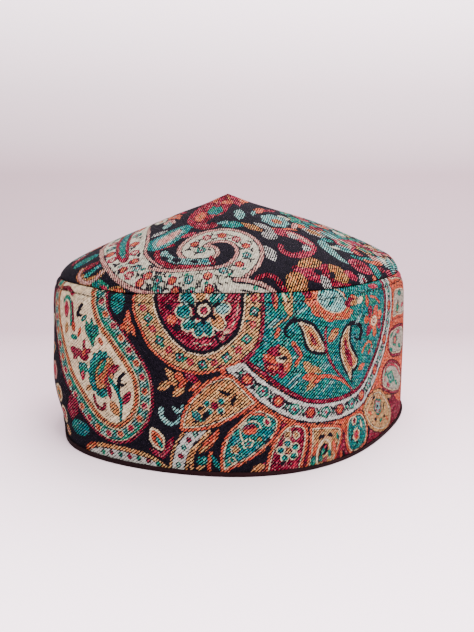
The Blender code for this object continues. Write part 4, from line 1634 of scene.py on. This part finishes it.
def shawl_finish(name, yarns, twill_turn, pick_length):
    """Twill shawl cloth: coloured picks over a dark warp, whose colours come from the pattern."""
    cloth = Finish(name, Roughness=0.95, Specular_IOR_Level=0.03)
    u, v = cloth.attribute("cloth_u"), cloth.attribute("cloth_v")
    place = cloth.point(u, v)
    drift = cloth.noise(place, 0.07) - 0.5
    fray = cloth.noise(place, 1.1, 1.0) - 0.5
    # The twill's lines, the picks along each of them, and every line's, pick's and strand's own chance
    cos, sin = math.cos(math.radians(twill_turn)), math.sin(math.radians(twill_turn))
    across = (v * cos - u * sin) / TWILL_PITCH + drift * 1.2 + fray * 0.22
    line = across.floor()
    along = (u * cos + v * sin) / pick_length + line * 0.381 + fray * 0.2
    pick = along.floor()
    chance = cloth.random(cloth.point(line, pick))
    line_chance = cloth.random(cloth.point(line, 7.3))
    strand = cloth.random(cloth.point((across * 2).floor(), (along * 5).floor(), 3.1))
    # How far a point stands out of the cloth, how well its pick covers the dark, and how it frays an edge
    ridge = 1 - ((across.fraction() - 0.5) * 2).size()
    tip = 1 - ((along.fraction() - 0.5) * 2).size()
    body = ridge * (tip.within(0.0, 0.26) * 0.65 + 0.35)
    worn = cloth.noise(place, 0.52, 1.5) - 0.5
    cover = body + (chance - 0.5) * 0.22 + (strand - 0.5) * 0.24 + worn * 0.9
    jag = (0.5 - ridge) * 0.36 + (chance - 0.5) * 0.48 + (strand - 0.5) * 0.34
    # Scattered pale strands, painted as glints on the yarn, and the two tones of a yarn
    pale = strand.within(0.86, 0.93) * 0.26
    even = (line_chance * 0.5 + chance * 0.5).within(0.46, 0.6)
    colour = cloth.mix(strand * 0.4, GROUND, dyed(38, 32, 42))
    for key in COLOURS:
        yarn = yarns[key]
        inside = (cloth.attribute(key) + jag).within(0.1, -0.08)
        tone = cloth.mix(even, yarn.main, yarn.second)
        # Painted glint: a few strands lightened towards pale
        tone = cloth.mix(pale, tone, PAINTED_GLINT_STRAND)
        seen = cover.within(0.96 - yarn.cover * 1.1, 1.12 - yarn.cover * 1.1)
        tone = cloth.mix(seen, yarn.dark, tone)
        colour = cloth.mix(inside, colour, tone)
    shade = (chance - 0.5) * 0.34 + (strand - 0.5) * 0.5 + (cloth.noise(place, 0.035, 3.0) - 0.5) * 0.24 + 1
    return cloth.finished(colour, shade, 0.97 - body * 0.12, 0.7, 0.00026, body)


def plain_finish(name, colour, worn, roughness, pitch):
    """Plain woven cotton: fine crossing threads, their pitch in metres, with a slightly rubbed tone."""
    cotton = Finish(name, Roughness=roughness, Specular_IOR_Level=0.05)
    place = cotton.node("ShaderNodeTexCoord", {}, {}).outputs["Object"]
    parts = cotton.node("ShaderNodeSeparateXYZ", {}, {0: place})
    x, y, z = (Value(cotton, output) for output in parts.outputs)
    round_way = y.maths("ARCTAN2", x) * (MEAN_RADIUS * MM)
    upright = (z / pitch * math.tau).maths("SINE")
    level = (round_way / pitch * math.tau).maths("SINE")
    weave = upright * 0.5 + level * 0.5
    cloudy = cotton.noise(place, 60.0, 4.0)
    tone = cotton.mix(cloudy.within(0.35, 0.7), colour, worn)
    shade = weave * 0.12 + (cotton.noise(place, 900.0, 2.0) - 0.5) * 0.5 + 1
    return cotton.finished(tone, shade, roughness + cloudy * 0.1 - 0.05, 0.4, 0.00015, weave)


# Stitches


def stitch_tree(name, finish, sizes):
    """A node tree that lays stitches along a curve, and the identifiers of its named size inputs."""
    tree = bpy.data.node_groups.new(name, "GeometryNodeTree")
    for way in ("INPUT", "OUTPUT"):
        tree.interface.new_socket("Geometry", in_out=way, socket_type="NodeSocketGeometry")
    inputs = {}
    for size in sizes:
        made = tree.interface.new_socket(size, in_out="INPUT", socket_type="NodeSocketFloat")
        inputs[size] = made.identifier
    add = Nodes(tree).node
    start = add("NodeGroupInput", {}, {}).outputs
    length, thickness = start["Stitch length"], start["Thickness"]
    pitch = add("ShaderNodeMath", {"operation": "ADD"}, {0: length, 1: start["Gap"]})
    line = {"Curve": start["Geometry"], "Length": pitch.outputs[0]}
    dots = add("GeometryNodeCurveToPoints", {"mode": "LENGTH"}, line).outputs
    ball = add("GeometryNodeMeshUVSphere", {}, {"Segments": 8, "Rings": 6, "Radius": 0.5})
    shape = add("ShaderNodeCombineXYZ", {}, {0: thickness, 1: thickness, 2: length})
    places = {"Points": dots["Points"], "Rotation": dots["Rotation"]}
    stitch = {"Instance": ball.outputs["Mesh"], "Scale": shape.outputs[0]}
    put = add("GeometryNodeInstanceOnPoints", {}, {**places, **stitch})
    real = add("GeometryNodeRealizeInstances", {}, {0: put.outputs[0]})
    smooth = add("GeometryNodeSetShadeSmooth", {}, {0: real.outputs[0]})
    paint = add("GeometryNodeSetMaterial", {}, {"Geometry": smooth.outputs[0], "Material": finish})
    add("NodeGroupOutput", {}, {0: paint.outputs[0]})
    return tree, inputs


def stitch_row(name, places, finish, length, gap, thickness):
    """Stitches along a closed line of points, laid by a node tree and then made one plain mesh."""
    curve = bpy.data.curves.new(name, "CURVE")
    curve.dimensions = "3D"
    spline = curve.splines.new("POLY")
    spline.points.add(len(places) - 1)
    spline.points.foreach_set("co", np.concatenate([places * MM, np.ones((len(places), 1))], 1).ravel())
    spline.use_cyclic_u = True
    path = add_object(name + "_path", curve)
    sizes = {"Stitch length": length, "Gap": gap, "Thickness": thickness}
    modifier = path.modifiers.new("stitches", "NODES")
    modifier.node_group, inputs = stitch_tree(name + "_tree", finish, sizes)
    for size, value in sizes.items():
        modifier[inputs[size]] = value * MM
    graph = bpy.context.evaluated_depsgraph_get()
    mesh = bpy.data.meshes.new_from_object(path.evaluated_get(graph))
    mesh.name = name
    bpy.data.objects.remove(path)
    return add_object(name, mesh)


def ring_on_band(height, lift):
    """Points round the band's outer face at one height."""
    path = profile_path(BAND_PROFILE)[::-1]
    radius = np.interp(height, path[:, 1], path[:, 0])
    angle = np.linspace(0, math.tau, RING_POINTS, endpoint=False)
    reach = radius * plan_radius(angle) / MEAN_RADIUS + lift + soft_waves(angle, height, BAND_WAVES)
    level = height + seam_dip((angle - FRONT + math.pi) % math.tau - math.pi + FRONT, height)
    return np.stack([reach * np.cos(angle) - MIDDLE_X, reach * np.sin(angle) - MIDDLE_Y, level], 1)


# Camera, floor and light

CAMERA_FROM_MIDDLE = Vector((-94.4, -311.9, 116.1))
CAMERA_PITCH = 0.191
CAMERA_LENS = 34.22


def add_camera():
    camera = bpy.data.cameras.new("photo_camera")
    camera.lens = CAMERA_LENS
    camera.sensor_width = 36
    camera.clip_start = 0.01
    holder = add_object("photo_camera", camera)
    holder.location = (CAMERA_FROM_MIDDLE - Vector((MIDDLE_X, MIDDLE_Y, 0))) * MM
    holder.rotation_euler = Euler((math.pi / 2 - CAMERA_PITCH, 0, CROWN_TURN))
    bpy.context.scene.camera = holder


def add_stage():
    """A pale floor that rises into a pale wall, its tone painted with shade and light: darker towards and
    behind the cap, lighter near the camera and at the wall's top.
    """
    section = [(-2.5, 0.0), (-0.3, 0.0), (0.1, 0.0), (0.5, 0.0)]
    for turn in np.linspace(0.1, math.pi / 2, 12):
        section.append((0.5 + 0.3 * math.sin(turn), 0.3 - 0.3 * math.cos(turn)))
    section += [(0.8, 1.0), (0.8, 3.0)]
    cos, sin = math.cos(CROWN_TURN), math.sin(CROWN_TURN)
    points = []
    for away, height in section:
        for side in (-3.0, 3.0):
            points.append((side * cos - away * sin, side * sin + away * cos, height))
    faces = [(2 * i, 2 * i + 1, 2 * i + 3, 2 * i + 2) for i in range(len(section) - 1)]
    mesh = bpy.data.meshes.new("stage")
    mesh.from_pydata(points, [], faces)
    mesh.shade_smooth()
    finish = Finish("pale_stage_painted_shade", Roughness=0.9, Specular_IOR_Level=0.1)
    place = finish.node("ShaderNodeTexCoord", {}, {}).outputs["Object"]
    parts = finish.node("ShaderNodeSeparateXYZ", {}, {0: place})
    x, y, z = (Value(finish, output) for output in parts.outputs)
    away = y * cos - x * sin
    # Painted shade and light: the floor darkens from near the camera towards the cap and more behind it,
    # and the wall lightens towards its top
    near = finish.mix(away.within(-0.2, 0.02), linear(255, 238, 247), linear(200, 179, 187))
    floor = finish.mix(away.within(0.02, 0.2), near, linear(160, 139, 146))
    tone = finish.mix(z.within(0.16, 0.46), floor, linear(255, 243, 249))
    finish.fill(finish.surface.inputs["Base Color"], tone)
    mesh.materials.append(finish.material)
    add_object("stage", mesh)


def add_light(name, size, power, place, aim, colour):
    light = bpy.data.lights.new(name, "AREA")
    light.shape = "RECTANGLE"
    light.size, light.size_y = size
    light.energy = power
    light.color = colour
    lamp = add_object(name, light)
    lamp.location = place
    lamp.rotation_euler = (Vector(aim) - Vector(place)).to_track_quat("-Z", "Y").to_euler()


def add_lights():
    world = bpy.data.worlds.new("soft_room")
    world.use_nodes = True
    background = world.node_tree.nodes["Background"]
    background.inputs["Color"].default_value = (1.0, 0.97, 0.98, 1)
    background.inputs["Strength"].default_value = 2.6
    bpy.context.scene.world = world
    add_light("window", (0.9, 0.9), 30, (0.5, -0.9, 0.9), (0, 0, 0.06), (1.0, 0.97, 0.96))
    add_light("ceiling", (1.0, 1.0), 44, (0.42, 0.45, 1.2), (0, 0, 0.05), (1.0, 0.96, 0.98))


# The cap

band_shawl = shawl_finish("band_shawl_weave", YARNS, twill_turn=41, pick_length=2.2)
crown_shawl = shawl_finish("crown_shawl_weave", CROWN_YARNS, twill_turn=75, pick_length=3.2)
inside_cotton = plain_finish("inside_cotton", dyed(52, 40, 46), dyed(68, 54, 58), 0.85, 0.0006)
binding_cotton = plain_finish("binding_cotton", dyed(30, 10, 14), dyed(44, 18, 22), 0.8, 0.0005)
dark_thread = plain_finish("dark_thread", dyed(22, 12, 16), dyed(36, 22, 26), 0.7, 0.0004)

band = make_band(band_shawl, inside_cotton)
crown = make_crown(crown_shawl, inside_cotton)
binding = make_binding(binding_cotton)
stitch_line = ring_on_band(TOPSTITCH_HEIGHT, STITCH_LIFT)
stitch_size = (STITCH_LENGTH, STITCH_GAP, STITCH_THICKNESS)
topstitch = stitch_row("topstitching", stitch_line, dark_thread, *stitch_size)

add_camera()
add_stage()
add_lights()

for piece, node, finish in (
    (band, "side_band", "band_cloth"),
    (crown, "crown", "crown_cloth"),
    (binding, "edge_binding", "binding_cloth"),
):
    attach(piece, "root")
    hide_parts(node)
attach(topstitch, "root")
